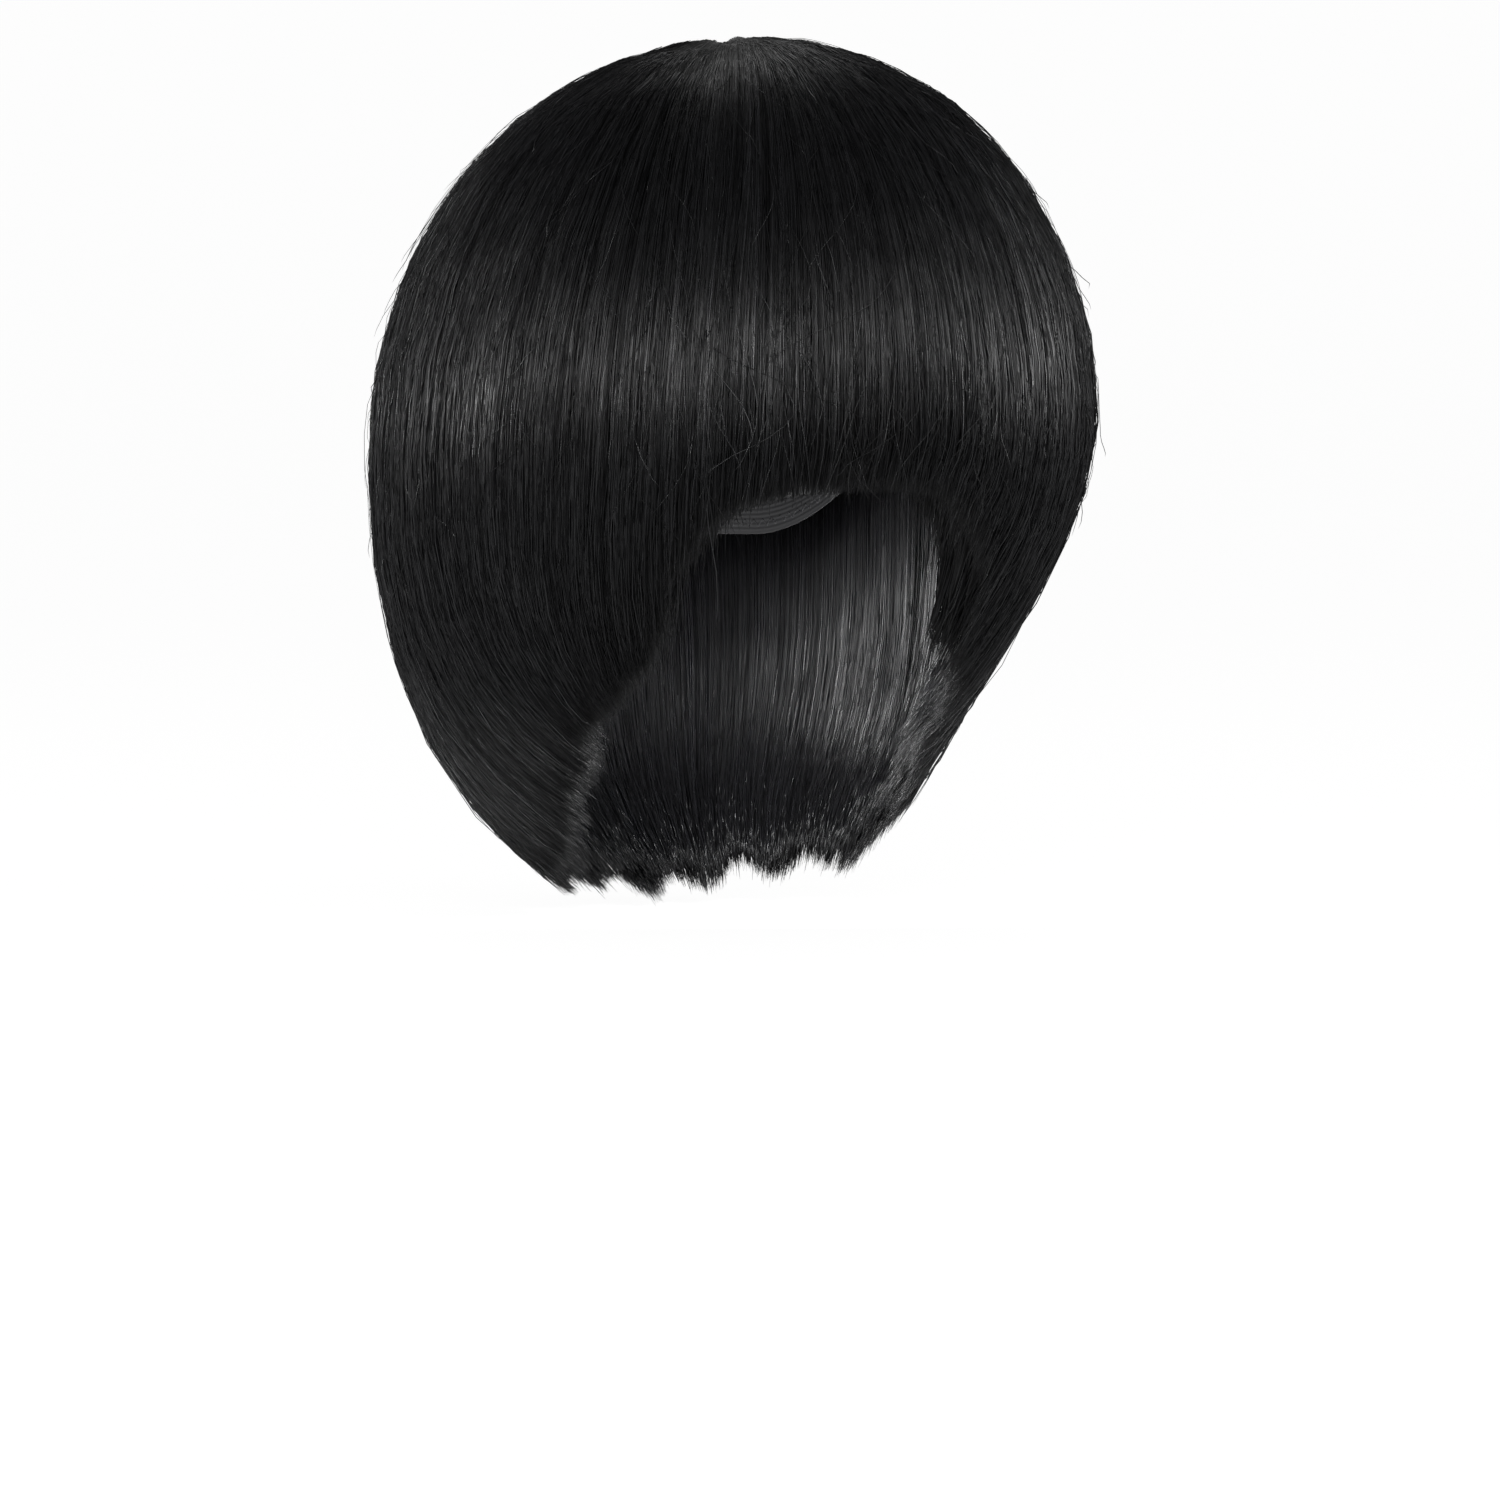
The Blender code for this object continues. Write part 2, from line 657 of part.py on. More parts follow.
def build_strap(side, suffix):
    frame = strap_frame(side)
    pivot = pivot_empty(f"strap_pivot_{suffix}", frame)
    strap = add_object(f"strap_{suffix}", prism(strap_outline(), 2 * STRAP_HALF_HEIGHT, "strap"), "elastic")
    strap.parent = pivot
    slider = pivot_empty(f"hook_slide_{suffix}", Matrix.Identity(4))
    slider.parent = pivot
    loop_start = STRAP_LENGTH + 0.3 * MM
    loop = build_strap_loop(f"strap_loop_{suffix}", loop_start)
    bar_middle = loop_start + LOOP_LENGTH
    hook, guides = build_hook(f"hook_{suffix}", bar_middle - 0.5 * HOOK_BAR, -side)
    eye = loop.modifiers[0].object
    for piece in [loop, eye, hook] + guides:
        piece.parent = slider


def pocket_mesh(side, middle, half_turn, falls, name):
    """One pocket: a strap of cloth that bows away from the tape between its two sewn ends."""
    turns = (side * (middle - half_turn), side * (middle + half_turn))
    sewn = -0.5 * (TAPE_LIFTS[0] + TAPE_LIFTS[1])
    inside = []
    outside = []
    for turn in turns:
        near = []
        far = []
        for share in evenly(0.0, 1.0, 8):
            fall = falls[0] + (falls[1] - falls[0]) * share
            bow = sewn + POCKET_HEIGHT * math.sin(math.pi * share) ** 0.7
            near.append(cap_point(turn, fall, -bow))
            far.append(cap_point(turn, fall, -bow - POCKET_CLOTH))
        inside.append(near)
        outside.append(far)
    return shell_mesh(name, inside, outside)


def build_pocket_tape(side, suffix):
    """A tape inside the nape band, with a row of pockets that a hook's tongue can catch."""
    name = f"pocket_tape_{suffix}"
    turns = evenly(*TAPE_TURNS, 4)
    places = []
    for turn in turns:
        low = rim_fall(turn) - BAND_FALL + TAPE_MARGIN_FALL
        high = rim_fall(turn) - TAPE_MARGIN_FALL
        places.append([(side * turn, fall) for fall in evenly(low, high, 2)])
    tape = cap_sheet(name, places, TAPE_LIFTS, "elastic")
    spacing = (TAPE_TURNS[1] - TAPE_TURNS[0]) / POCKET_COUNT
    for pocket in range(POCKET_COUNT):
        middle = TAPE_TURNS[0] + spacing * (pocket + 0.5)
        centre = rim_fall(middle) - 0.5 * BAND_FALL
        falls = (centre - 1.7, centre + 1.7)
        mesh = pocket_mesh(side, middle, 0.27 * spacing, falls, f"{name}_pocket_{pocket + 1}")
        cut_with(tape, mesh, "UNION")


def build_wig():
    clear_scene()
    build_crown_patch()
    build_cap_net()
    build_bands()
    build_comfort_strip()
    build_ribs()
    build_wefts()
    build_hair_rows()
    build_top_hair()
    for side, suffix in ((1, "left"), (-1, "right")):
        build_ear_tab(side, suffix)
        build_strap(side, suffix)
        build_pocket_tape(side, suffix)


build_wig()
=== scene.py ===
"""The looks of a bowl-cut costume wig: strands of hair, a net cap with sewn bands, straps and hooks.

A place on the wig is a turn and a fall, in degrees: the turn goes round from the front, positive to the
wearer's left, and the fall goes down from the crown. A depth is 0 on the cap and 1 on the outside of the
hair, and a lift stands off the head, square to its surface.
"""

import json
import math

import bmesh
import bpy
import numpy as np
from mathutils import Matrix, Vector


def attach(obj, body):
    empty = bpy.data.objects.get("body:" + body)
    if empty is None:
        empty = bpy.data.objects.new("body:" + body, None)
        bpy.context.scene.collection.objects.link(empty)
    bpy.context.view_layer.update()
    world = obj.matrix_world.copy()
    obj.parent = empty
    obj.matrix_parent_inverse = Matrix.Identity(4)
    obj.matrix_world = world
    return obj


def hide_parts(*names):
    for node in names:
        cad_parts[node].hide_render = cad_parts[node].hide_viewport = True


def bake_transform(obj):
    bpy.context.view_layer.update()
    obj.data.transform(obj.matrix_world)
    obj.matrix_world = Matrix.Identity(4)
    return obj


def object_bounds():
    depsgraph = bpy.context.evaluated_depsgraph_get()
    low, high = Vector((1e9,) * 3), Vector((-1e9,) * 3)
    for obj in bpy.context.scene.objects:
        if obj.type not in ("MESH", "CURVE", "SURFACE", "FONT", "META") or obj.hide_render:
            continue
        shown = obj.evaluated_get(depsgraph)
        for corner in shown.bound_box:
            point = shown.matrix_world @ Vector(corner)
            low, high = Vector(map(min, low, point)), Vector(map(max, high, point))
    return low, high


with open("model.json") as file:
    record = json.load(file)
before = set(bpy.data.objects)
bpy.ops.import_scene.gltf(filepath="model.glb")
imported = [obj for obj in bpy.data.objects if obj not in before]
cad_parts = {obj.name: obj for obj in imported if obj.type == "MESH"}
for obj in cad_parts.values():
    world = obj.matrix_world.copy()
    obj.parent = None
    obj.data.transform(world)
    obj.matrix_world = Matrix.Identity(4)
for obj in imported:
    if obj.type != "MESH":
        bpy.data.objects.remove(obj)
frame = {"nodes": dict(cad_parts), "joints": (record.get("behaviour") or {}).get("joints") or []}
CAD_LOW, CAD_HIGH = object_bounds()
MM = 0.001
RNG = np.random.default_rng(7)
QUICK_SHARE = 1.0
UV_NAME = "OFBake"

# ---- the shape of the head and of the hair ----

# A ramp is where a change starts, and how far it takes.
HALF_WIDTH = 0.5 * (CAD_HIGH.x - CAD_LOW.x)
HALF_DEPTH = 129.5 * MM
WIDEST_Z = -113 * MM
WIDEST_FALL = 90.0
HAIR_RISE = CAD_HIGH.z - WIDEST_Z
HAIR_LEAN = 14 * MM
HAIR_FULLNESS = 0.97
HAIR_TUCK = 16.5 * MM
HAIR_TUCK_POWER = 1.3
CHEEK_DROP = 120 * MM
NAPE_DROP = 173.5 * MM
DROP_RAMP = (60.0, 60.0)
HEAD_HALF_WIDTH = 77 * MM
HEAD_HALF_DEPTH = 97 * MM
HEAD_RISE = 114 * MM
NECK_WIDTH_SHARE = 0.85
NECK_DEPTH_SHARE = 0.62
NECK_TUCK_FALL = 34.0
HAIR_LIFT = 5.4 * MM
LOOSE_SHARE = 0.82
LOOSE_BACK_LOSS = 0.14
LOOSE_BACK_RAMP = (100.0, 60.0)
LOOSE_RAMP = (98.0, 45.0)

# The rim of the cap.
RIM_FRONT_FALL = 63.0
RIM_BACK_LOWER = 40.0
RIM_RAMP = (45.0, 105.0)
BAND_FALL = 5.7
PATCH_FALL = 17.0

# The cut.
NAPE_END_FALL = 150.0
ARCH_TURN = 34.5
ARCH_END_FALL = 98.0
ARCH_CORNER_FALL = 16.0
ARCH_POWER = 3
CHEEK_END_TURN = 42.0
CHEEK_END_POWER = 0.4
LEFT_SHORTER = 5.5
LEFT_SHORTER_TURN = 104.0
LEFT_SHORTER_WIDTH = 24.0

# Where the top hair whirls out of the crown, and the crease that runs through it.
WHORL_TILT = 5.0
WHORL_SIDE_TILT = 2.0
WHORL_FADE = 60.0
WHORL_SPIN = 26.0
WHORL_SPIN_FALL = 12.0
CREASE_TURN = -21.0
CREASE_DEPTH = 0.26
CREASE_WIDTH = 1.1
CREASE_REACH = 15.0


def smooth(share):
    share = np.clip(share, 0.0, 1.0)
    return share * share * (3 - 2 * share)


def ramp(value, start, span):
    """0 up to the start and 1 past the span, with a smooth change between."""
    return smooth((value - start) / span)


def bump(value, middle, width):
    """1 at the middle, fading to 0 on both sides of it."""
    return np.exp(-(((value - middle) / width) ** 2))


def signed_turn(turn):
    return (turn + 180.0) % 360.0 - 180.0


def off_front(turn):
    return np.abs(signed_turn(turn))


def drop(turn):
    return CHEEK_DROP + (NAPE_DROP - CHEEK_DROP) * ramp(off_front(turn), *DROP_RAMP)


def head_point(turn, fall):
    around = np.radians(turn)
    down = np.radians(fall)
    above = fall <= WIDEST_FALL
    tuck = bump(fall, WIDEST_FALL, NECK_TUCK_FALL)
    wide = np.where(above, np.sin(down), NECK_WIDTH_SHARE + (1 - NECK_WIDTH_SHARE) * tuck)
    deep = np.where(above, np.sin(down), NECK_DEPTH_SHARE + (1 - NECK_DEPTH_SHARE) * tuck)
    height = np.where(above, HEAD_RISE, drop(turn)) * np.cos(down)
    across = HEAD_HALF_WIDTH * wide * np.sin(around)
    forward = HEAD_HALF_DEPTH * deep * np.cos(around)
    return np.stack((across, -forward, WIDEST_Z + height), axis=-1)


def cap_point(turn, fall, lift):
    """Points that stand off the head by the lift."""
    turn, fall, lift = np.broadcast_arrays(turn, fall, lift)
    nudge = 0.5
    fall = np.maximum(fall, nudge)
    along = head_point(turn + nudge, fall) - head_point(turn - nudge, fall)
    downward = head_point(turn, fall + nudge) - head_point(turn, fall - nudge)
    normal = np.cross(downward, along)
    normal /= np.linalg.norm(normal, axis=-1, keepdims=True)
    return head_point(turn, fall) + normal * lift[..., None]


def outer_point(turn, fall):
    """The outside of the hair: it leans forward over the brow and tucks back below the widest level."""
    around = np.radians(turn)
    down = np.radians(fall)
    swell = np.sin(down) ** HAIR_FULLNESS
    rise = np.where(fall <= WIDEST_FALL, HAIR_RISE, drop(turn))
    below = np.clip((fall - WIDEST_FALL) / (NAPE_END_FALL - WIDEST_FALL), 0.0, 1.0)
    lean = HAIR_LEAN * np.maximum(np.cos(down), 0.0)
    lean = lean - HAIR_TUCK * np.sin(np.pi * below**HAIR_TUCK_POWER)
    across = HALF_WIDTH * swell * np.sin(around)
    forward = HALF_DEPTH * swell * np.cos(around) + lean
    return np.stack((across, -forward, WIDEST_Z + rise * np.cos(down)), axis=-1)


def inner_point(turn, fall):
    """The inside of the hair: on the cap, then hanging loose below its rim."""
    outer = outer_point(turn, fall)
    share = LOOSE_SHARE - LOOSE_BACK_LOSS * ramp(off_front(turn), *LOOSE_BACK_RAMP)
    loose = np.stack((outer[..., 0] * share, outer[..., 1] * share, outer[..., 2]), axis=-1)
    loosened = ramp(fall, *LOOSE_RAMP)[..., None]
    return cap_point(turn, fall, HAIR_LIFT) * (1 - loosened) + loose * loosened


def hair_point(turn, fall, depth):
    turn, fall, depth = np.broadcast_arrays(turn, fall, depth)
    inner = inner_point(turn, fall)
    return inner + (outer_point(turn, fall) - inner) * depth[..., None]


def rim_fall(turn):
    return RIM_FRONT_FALL + RIM_BACK_LOWER * ramp(off_front(turn), *RIM_RAMP)


def band_top(turn):
    return rim_fall(turn) - BAND_FALL


def hair_end(turn):
    """Where the hair is cut: an arch over the face, then lower past the cheek, and lowest at the nape."""
    off = off_front(turn)
    shorter = LEFT_SHORTER * bump(signed_turn(turn), LEFT_SHORTER_TURN, LEFT_SHORTER_WIDTH)
    corner_fall = ARCH_END_FALL + ARCH_CORNER_FALL
    arch = ARCH_END_FALL + ARCH_CORNER_FALL * (np.minimum(off, ARCH_TURN) / ARCH_TURN) ** ARCH_POWER
    share = np.clip((off - ARCH_TURN) / CHEEK_END_TURN, 0.0, 1.0)
    return arch + (NAPE_END_FALL - corner_fall) * share**CHEEK_END_POWER - shorter


def spun(turn, fall):
    return turn + WHORL_SPIN * np.exp(-fall / WHORL_SPIN_FALL)


def tipped(side, up, angle):
    return side * np.cos(angle) + up * np.sin(angle), -side * np.sin(angle) + up * np.cos(angle)


def flow_place(turn, fall):
    """Moves places measured from the whorl to places measured from the top of the head."""
    around = np.radians(spun(turn, fall))
    down = np.radians(fall)
    fade = 1 - smooth(fall / WHORL_FADE)
    x = np.sin(down) * np.sin(around)
    y = -np.sin(down) * np.cos(around)
    y, z = tipped(y, np.cos(down), np.radians(WHORL_TILT * fade))
    x, z = tipped(x, z, -np.radians(WHORL_SIDE_TILT * fade))
    return np.degrees(np.arctan2(x, -y)), np.degrees(np.arctan2(np.hypot(x, y), z))


# ---- making pieces ----

TUBE_SIDES = 3
TINY = 1e-12
UV_FILL = 0.98
SHEET_UV = (0.49, 1.0)
SHEET_UV_BACK = (0.51, 0.0)


def new_piece(name, mesh):
    piece = bpy.data.objects.new(name, mesh)
    bpy.context.scene.collection.objects.link(piece)
    return piece


def link(name, mesh, node, material=None, body="cap"):
    """Puts a mesh in the scene as a piece that stands for a CAD node and moves with its body."""
    if material:
        mesh.materials.append(material)
    piece = new_piece(name, mesh)
    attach(piece, body)
    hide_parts(node)


def joined(name, parts):
    """One mesh from pairs of a mesh and its material, each in its own strip of the UV map."""
    bm = bmesh.new()
    for index, (mesh, _) in enumerate(parts):
        first = len(bm.faces)
        bm.from_mesh(mesh)
        bm.faces.ensure_lookup_table()
        layer = bm.loops.layers.uv[UV_NAME]
        for face in bm.faces[first:]:
            face.material_index = index
            for loop in face.loops:
                loop[layer].uv.y = (index + UV_FILL * loop[layer].uv.y) / len(parts)
    merged = bpy.data.meshes.new(name)
    bm.to_mesh(merged)
    bm.free()
    for _, material in parts:
        merged.materials.append(material)
    return merged


def mesh_of(name, points, polygons, uv=None, tone=None):
    """A smooth mesh from points and a list of polygon arrays, each array holding polygons of one size."""
    mesh = bpy.data.meshes.new(name)
    mesh.vertices.add(len(points))
    mesh.vertices.foreach_set("co", np.ascontiguousarray(points, np.float32).ravel())
    corners = np.concatenate([group.ravel() for group in polygons])
    sizes = np.concatenate([np.full(len(group), group.shape[1]) for group in polygons])
    mesh.loops.add(len(corners))
    mesh.loops.foreach_set("vertex_index", corners.astype(np.int32))
    mesh.polygons.add(len(sizes))
    starts = np.concatenate(([0], np.cumsum(sizes)[:-1]))
    mesh.polygons.foreach_set("loop_start", starts.astype(np.int32))
    mesh.polygons.foreach_set("use_smooth", np.ones(len(sizes), bool))
    mesh.update(calc_edges=True)
    if uv is not None:
        layer = mesh.uv_layers.new(name=UV_NAME)
        layer.data.foreach_set("uv", uv[corners].astype(np.float32).ravel())
    if tone is not None:
        attribute = mesh.attributes.new("tone", "FLOAT", "POINT")
        attribute.data.foreach_set("value", tone.astype(np.float32))
    return mesh


def tube_mesh(name, paths, radii, tones):
    """Closed three-sided tubes along paths: an array of strands by points by XYZ."""
    count, steps, _ = paths.shape
    tangent = np.gradient(paths, axis=1)
    tangent /= np.linalg.norm(tangent, axis=-1, keepdims=True) + TINY
    outward = paths - np.array((0.0, 0.0, WIDEST_Z))
    side = np.cross(tangent, outward)
    side /= np.linalg.norm(side, axis=-1, keepdims=True) + TINY
    up = np.cross(side, tangent)
    rings = []
    for number in range(TUBE_SIDES):
        angle = math.radians(90.0 + 360.0 / TUBE_SIDES * number)
        offset = math.cos(angle) * side + math.sin(angle) * up
        rings.append(paths + offset * radii[..., None])
    points = np.stack(rings, axis=2).reshape(-1, 3)

    first = (np.arange(count) * steps * TUBE_SIDES)[:, None, None]
    ring = (np.arange(steps - 1) * TUBE_SIDES)[None, :, None]
    corner = np.arange(TUBE_SIDES)[None, None, :]
    after = (corner + 1) % TUBE_SIDES
    here = first + ring
    there = here + TUBE_SIDES
    quads = np.stack((here + corner, here + after, there + after, there + corner), axis=-1)
    start = first[:, :, 0] + np.arange(TUBE_SIDES)[::-1]
    tip = first[:, :, 0] + (steps - 1) * TUBE_SIDES + np.arange(TUBE_SIDES)

    across = (np.arange(count)[:, None, None] + 0.2 + 0.3 * corner) / count
    along = np.linspace(0.0, 1.0, steps)[None, :, None]
    across, along = np.broadcast_arrays(across, along)
    uv = np.stack((across, along), axis=-1).reshape(-1, 2)
    tone = np.repeat(tones, steps * TUBE_SIDES)
    return mesh_of(name, points, [quads.reshape(-1, 4), start, tip], uv, tone)


def sheet_mesh(name, inside, outside, ring=False):
    """A closed sheet between two grids of points, each an array of columns by rows by XYZ."""
    columns, rows, _ = inside.shape
    points = np.concatenate((inside.reshape(-1, 3), outside.reshape(-1, 3)))
    index = np.arange(columns * rows).reshape(columns, rows)
    last = columns if ring else columns - 1
    here, there = index[:last], np.roll(index, -1, axis=0)[:last]
    lower = columns * rows
    inner = np.stack((here[:, :-1], here[:, 1:], there[:, 1:], there[:, :-1]), axis=-1)
    outer = inner[..., ::-1] + lower
    polygons = [inner.reshape(-1, 4), outer.reshape(-1, 4)]
    edges = [(here[:, 0], there[:, 0], False), (here[:, -1], there[:, -1], True)]
    if not ring:
        edges += [(index[0, :-1], index[0, 1:], True), (index[-1, :-1], index[-1, 1:], False)]
    for line, following, flip in edges:
        edge = np.stack((line, following, following + lower, line + lower), axis=-1)
        polygons.append(edge[:, ::-1] if flip else edge)
    across = np.broadcast_to(np.linspace(0, 1, columns)[:, None], (columns, rows))
    along = np.broadcast_to(np.linspace(0, 1, rows)[None, :], (columns, rows))
    half = np.stack((across, along), axis=-1).reshape(-1, 2) * SHEET_UV
    return mesh_of(name, points, polygons, np.concatenate((half, half + SHEET_UV_BACK)))


# ---- materials ----


def new_material(name):
    material = bpy.data.materials.new(name)
    material.use_nodes = True
    tree = material.node_tree
    return material, tree, tree.nodes["Principled BSDF"]


def add_node(tree, kind, **settings):
    node = tree.nodes.new(kind)
    for key, value in settings.items():
        setattr(node, key, value)
    return node


def paint(tree, shader, factor, dark, light):
    """The factor takes the colour of the shader from dark to light."""
    node = add_node(tree, "ShaderNodeValToRGB")
    node.color_ramp.elements[0].color = (*dark, 1)
    node.color_ramp.elements[1].color = (*light, 1)
    tree.links.new(factor, node.inputs["Fac"])
    tree.links.new(node.outputs["Color"], shader.inputs["Base Color"])


def drive(tree, socket, factor, low, high):
    """The factor takes the socket from low to high."""
    node = add_node(tree, "ShaderNodeMapRange")
    node.inputs["To Min"].default_value = low
    node.inputs["To Max"].default_value = high
    tree.links.new(factor, node.inputs["Value"])
    tree.links.new(node.outputs["Result"], socket)


def noise(tree, scale):
    node = add_node(tree, "ShaderNodeTexNoise")
    node.inputs["Scale"].default_value = scale
    return node


def strand_material():
    """Glossy synthetic fibre: each strand has its own tone and its own gloss."""
    material, tree, shader = new_material("fibre")
    tone = add_node(tree, "ShaderNodeAttribute", attribute_name="tone").outputs["Fac"]
    paint(tree, shader, tone, (0.0035, 0.0035, 0.0041), (0.0142, 0.0143, 0.0162))
    drive(tree, shader.inputs["Roughness"], tone, 0.42, 0.24)
    drive(tree, shader.inputs["Specular IOR Level"], tone, 0.3, 1.0)
    return material


def core_material():
    """The mass of hair under the loose strands, streaked from root to tip."""
    material, tree, shader = new_material("fibre_mass")
    place = add_node(tree, "ShaderNodeUVMap", uv_map=UV_NAME)
    stretch = add_node(tree, "ShaderNodeMapping")
    stretch.inputs["Scale"].default_value = (900.0, 6.0, 1.0)
    tree.links.new(place.outputs["UV"], stretch.inputs["Vector"])
    streaks = noise(tree, 1.0)
    tree.links.new(stretch.outputs["Vector"], streaks.inputs["Vector"])
    streak = streaks.outputs["Fac"]
    paint(tree, shader, streak, (0.002, 0.002, 0.0022), (0.008, 0.008, 0.009))
    drive(tree, shader.inputs["Roughness"], streak, 0.45, 0.7)
    grooves = add_node(tree, "ShaderNodeBump")
    grooves.inputs["Strength"].default_value = 0.6
    grooves.inputs["Distance"].default_value = 0.4 * MM
    tree.links.new(streak, grooves.inputs["Height"])
    tree.links.new(grooves.outputs["Normal"], shader.inputs["Normal"])
    return material


def cloth_material(name, dark, light, scale, roughness, sheen):
    """Cloth: thread-sized changes of tone, and a soft sheen."""
    material, tree, shader = new_material(name)
    threads = noise(tree, scale)
    threads.inputs["Detail"].default_value = 4.0
    paint(tree, shader, threads.outputs["Fac"], dark, light)
    shader.inputs["Roughness"].default_value = roughness
    shader.inputs["Sheen Weight"].default_value = sheen
    shader.inputs["Sheen Roughness"].default_value = 0.4
    return material


def steel_material():
    """Bright drawn steel, with fine marks across it."""
    material, tree, shader = new_material("steel")
    shader.inputs["Metallic"].default_value = 1.0
    marks = noise(tree, 2500.0).outputs["Fac"]
    paint(tree, shader, marks, (0.42, 0.42, 0.43), (0.68, 0.68, 0.69))
    drive(tree, shader.inputs["Roughness"], marks, 0.2, 0.42)
    return material


def stay_material():
    """Milky plastic."""
    material, tree, shader = new_material("stay_plastic")
    haze = noise(tree, 300.0).outputs["Fac"]
    paint(tree, shader, haze, (0.52, 0.53, 0.55), (0.66, 0.67, 0.68))
    shader.inputs["Roughness"].default_value = 0.35
    return material


FIBRE = strand_material()
FIBRE_MASS = core_material()
NET = cloth_material("net_thread", (0.010, 0.010, 0.011), (0.026, 0.026, 0.028), 900.0, 0.6, 0.1)
ELASTIC = cloth_material("woven_elastic", (0.009, 0.009, 0.010), (0.030, 0.030, 0.032), 1400.0, 0.65, 0.1)
THREAD = cloth_material("sewing_thread", (0.030, 0.030, 0.033), (0.075, 0.075, 0.080), 2500.0, 0.45, 0.2)
PATCH = cloth_material("knitted_patch", (0.018, 0.017, 0.017), (0.050, 0.047, 0.047), 1100.0, 0.8, 0.3)
VELVET = cloth_material("velvet", (0.012, 0.011, 0.012), (0.034, 0.031, 0.033), 2200.0, 0.9, 0.8)
WEFT = cloth_material("weft_header", (0.008, 0.008, 0.009), (0.026, 0.026, 0.028), 1600.0, 0.55, 0.1)
STEEL = steel_material()
STAY = stay_material()


# ---- the fields that the hair follows ----

# The waves of locks: how wide each is in turn, how big, how much they drift as they fall, and their seed.
SWAY_WAVES = {"widths": (45.0, 24.0, 11.0), "sizes": (1.3, 0.8, 0.35), "drift": 0.035, "seed": 11}
LOCK_WAVES = {
    "widths": (9.0, 5.0, 2.6, 1.7),
    "sizes": (0.022, 0.02, 0.014, 0.01),
    "drift": 0.05,
    "seed": 23,
}
CROWN_WAVES = {"widths": (40.0, 24.0, 15.0), "sizes": (0.035, 0.04, 0.025), "drift": 0.02, "seed": 37}
SWAY_RAMP = (25.0, 50.0)
LOCK_RAMP = (0.0, 50.0)
CROWN_RAMP = (0.0, 7.0)
CROWN_FADE_RAMP = (20.0, 30.0)
TUFT_TURN = 3.4
TUFT_JITTER = 0.35
SIDE_RAMP = (34.0, 40.0)
NAPE_RAMP = (105.0, 30.0)
FACE_EDGE_TURN = 42.0
FACE_EDGE_WIDTH = 13.0


def wave_sum(turn, fall, widths, sizes, drift, seed):
    """A smooth field over the wig."""
    phases = np.random.default_rng(seed).random((len(widths), 2)) * 2 * np.pi
    total = 0.0
    for width, size, (phase, heading) in zip(widths, sizes, phases):
        cycle = 360.0 / round(360.0 / width)
        total = total + size * np.sin(2 * np.pi * turn / cycle + phase + drift * fall * math.sin(heading))
    return total


def lock_sway(turn, fall):
    """How far neighbouring strands lean together, in degrees of turn."""
    return ramp(fall, *SWAY_RAMP) * wave_sum(turn, fall, **SWAY_WAVES)


def lock_depth(turn, fall):
    """The shallow ridges and valleys between locks."""
    return ramp(fall, *LOCK_RAMP) * wave_sum(turn, fall, **LOCK_WAVES)


def crown_depth(turn, fall):
    """The locks that fan out of the whorl, and the crease that runs through it."""
    ridges = wave_sum(turn, fall, **CROWN_WAVES)
    ridges = ridges * ramp(fall, *CROWN_RAMP) * (1 - ramp(fall, *CROWN_FADE_RAMP))
    aside = fall * np.sin(np.radians(spun(turn, fall) - CREASE_TURN))
    crease = bump(aside, 0.0, CREASE_WIDTH) * (1 - smooth(fall / CREASE_REACH))
    return ridges - CREASE_DEPTH * crease


def tuft_middle(turn):
    """The middle of the tuft that a strand's tip is drawn to. The sine makes the tufts uneven."""
    cell = np.floor(turn / TUFT_TURN)
    return (cell + 0.5 + np.sin(cell * 12.9898) * TUFT_JITTER) * TUFT_TURN


def tuft_length(turn):
    """How much longer or shorter each tuft is than the cut, from -1 to 1, in no visible order."""
    cell = np.floor(turn / TUFT_TURN)
    return np.sin(cell * 78.233) * np.cos(cell * 3.71)


def side_share(turn):
    """0 over the fringe, 1 from the cheeks round the back."""
    return ramp(off_front(turn), *SIDE_RAMP)


def face_edge(turn):
    """1 along the sides of the face, where the tips stick out."""
    return bump(off_front(turn), FACE_EDGE_TURN, FACE_EDGE_WIDTH)


def nape_share(turn):
    return ramp(off_front(turn), *NAPE_RAMP)


# ---- strands of hair ----

STRAND_POINTS = 13
ROW_STRAND_POINTS = 9
STRAND_RADIUS = 0.17 * MM
ROW_STRAND_RADIUS = 0.21 * MM
FLYAWAY_RADIUS = 0.11 * MM
STRANDS_PER_PIECE = 2600

# The shape of every strand. Its ramps are shares of its length.
TIP_CROWDING = 1.35
SWING_CYCLES = (0.3, 0.9)
KINK_SHARE = 0.5
ROOT_THICKNESS = 0.45
TIP_TAPER = 0.8
RADIUS_SPREAD = (0.7, 1.3)
RISE_RAMP = (0.0, 0.22)
BEND_RAMP = (0.45, 0.55)
FRIZZ_RAMP = (0.55, 0.45)
GATHER_RAMP = (0.6, 0.4)
CURL_RAMP = (0.78, 0.22)
ROOT_TAPER_RAMP = (0.0, 0.2)
TIP_TAPER_RAMP = (0.88, 0.12)

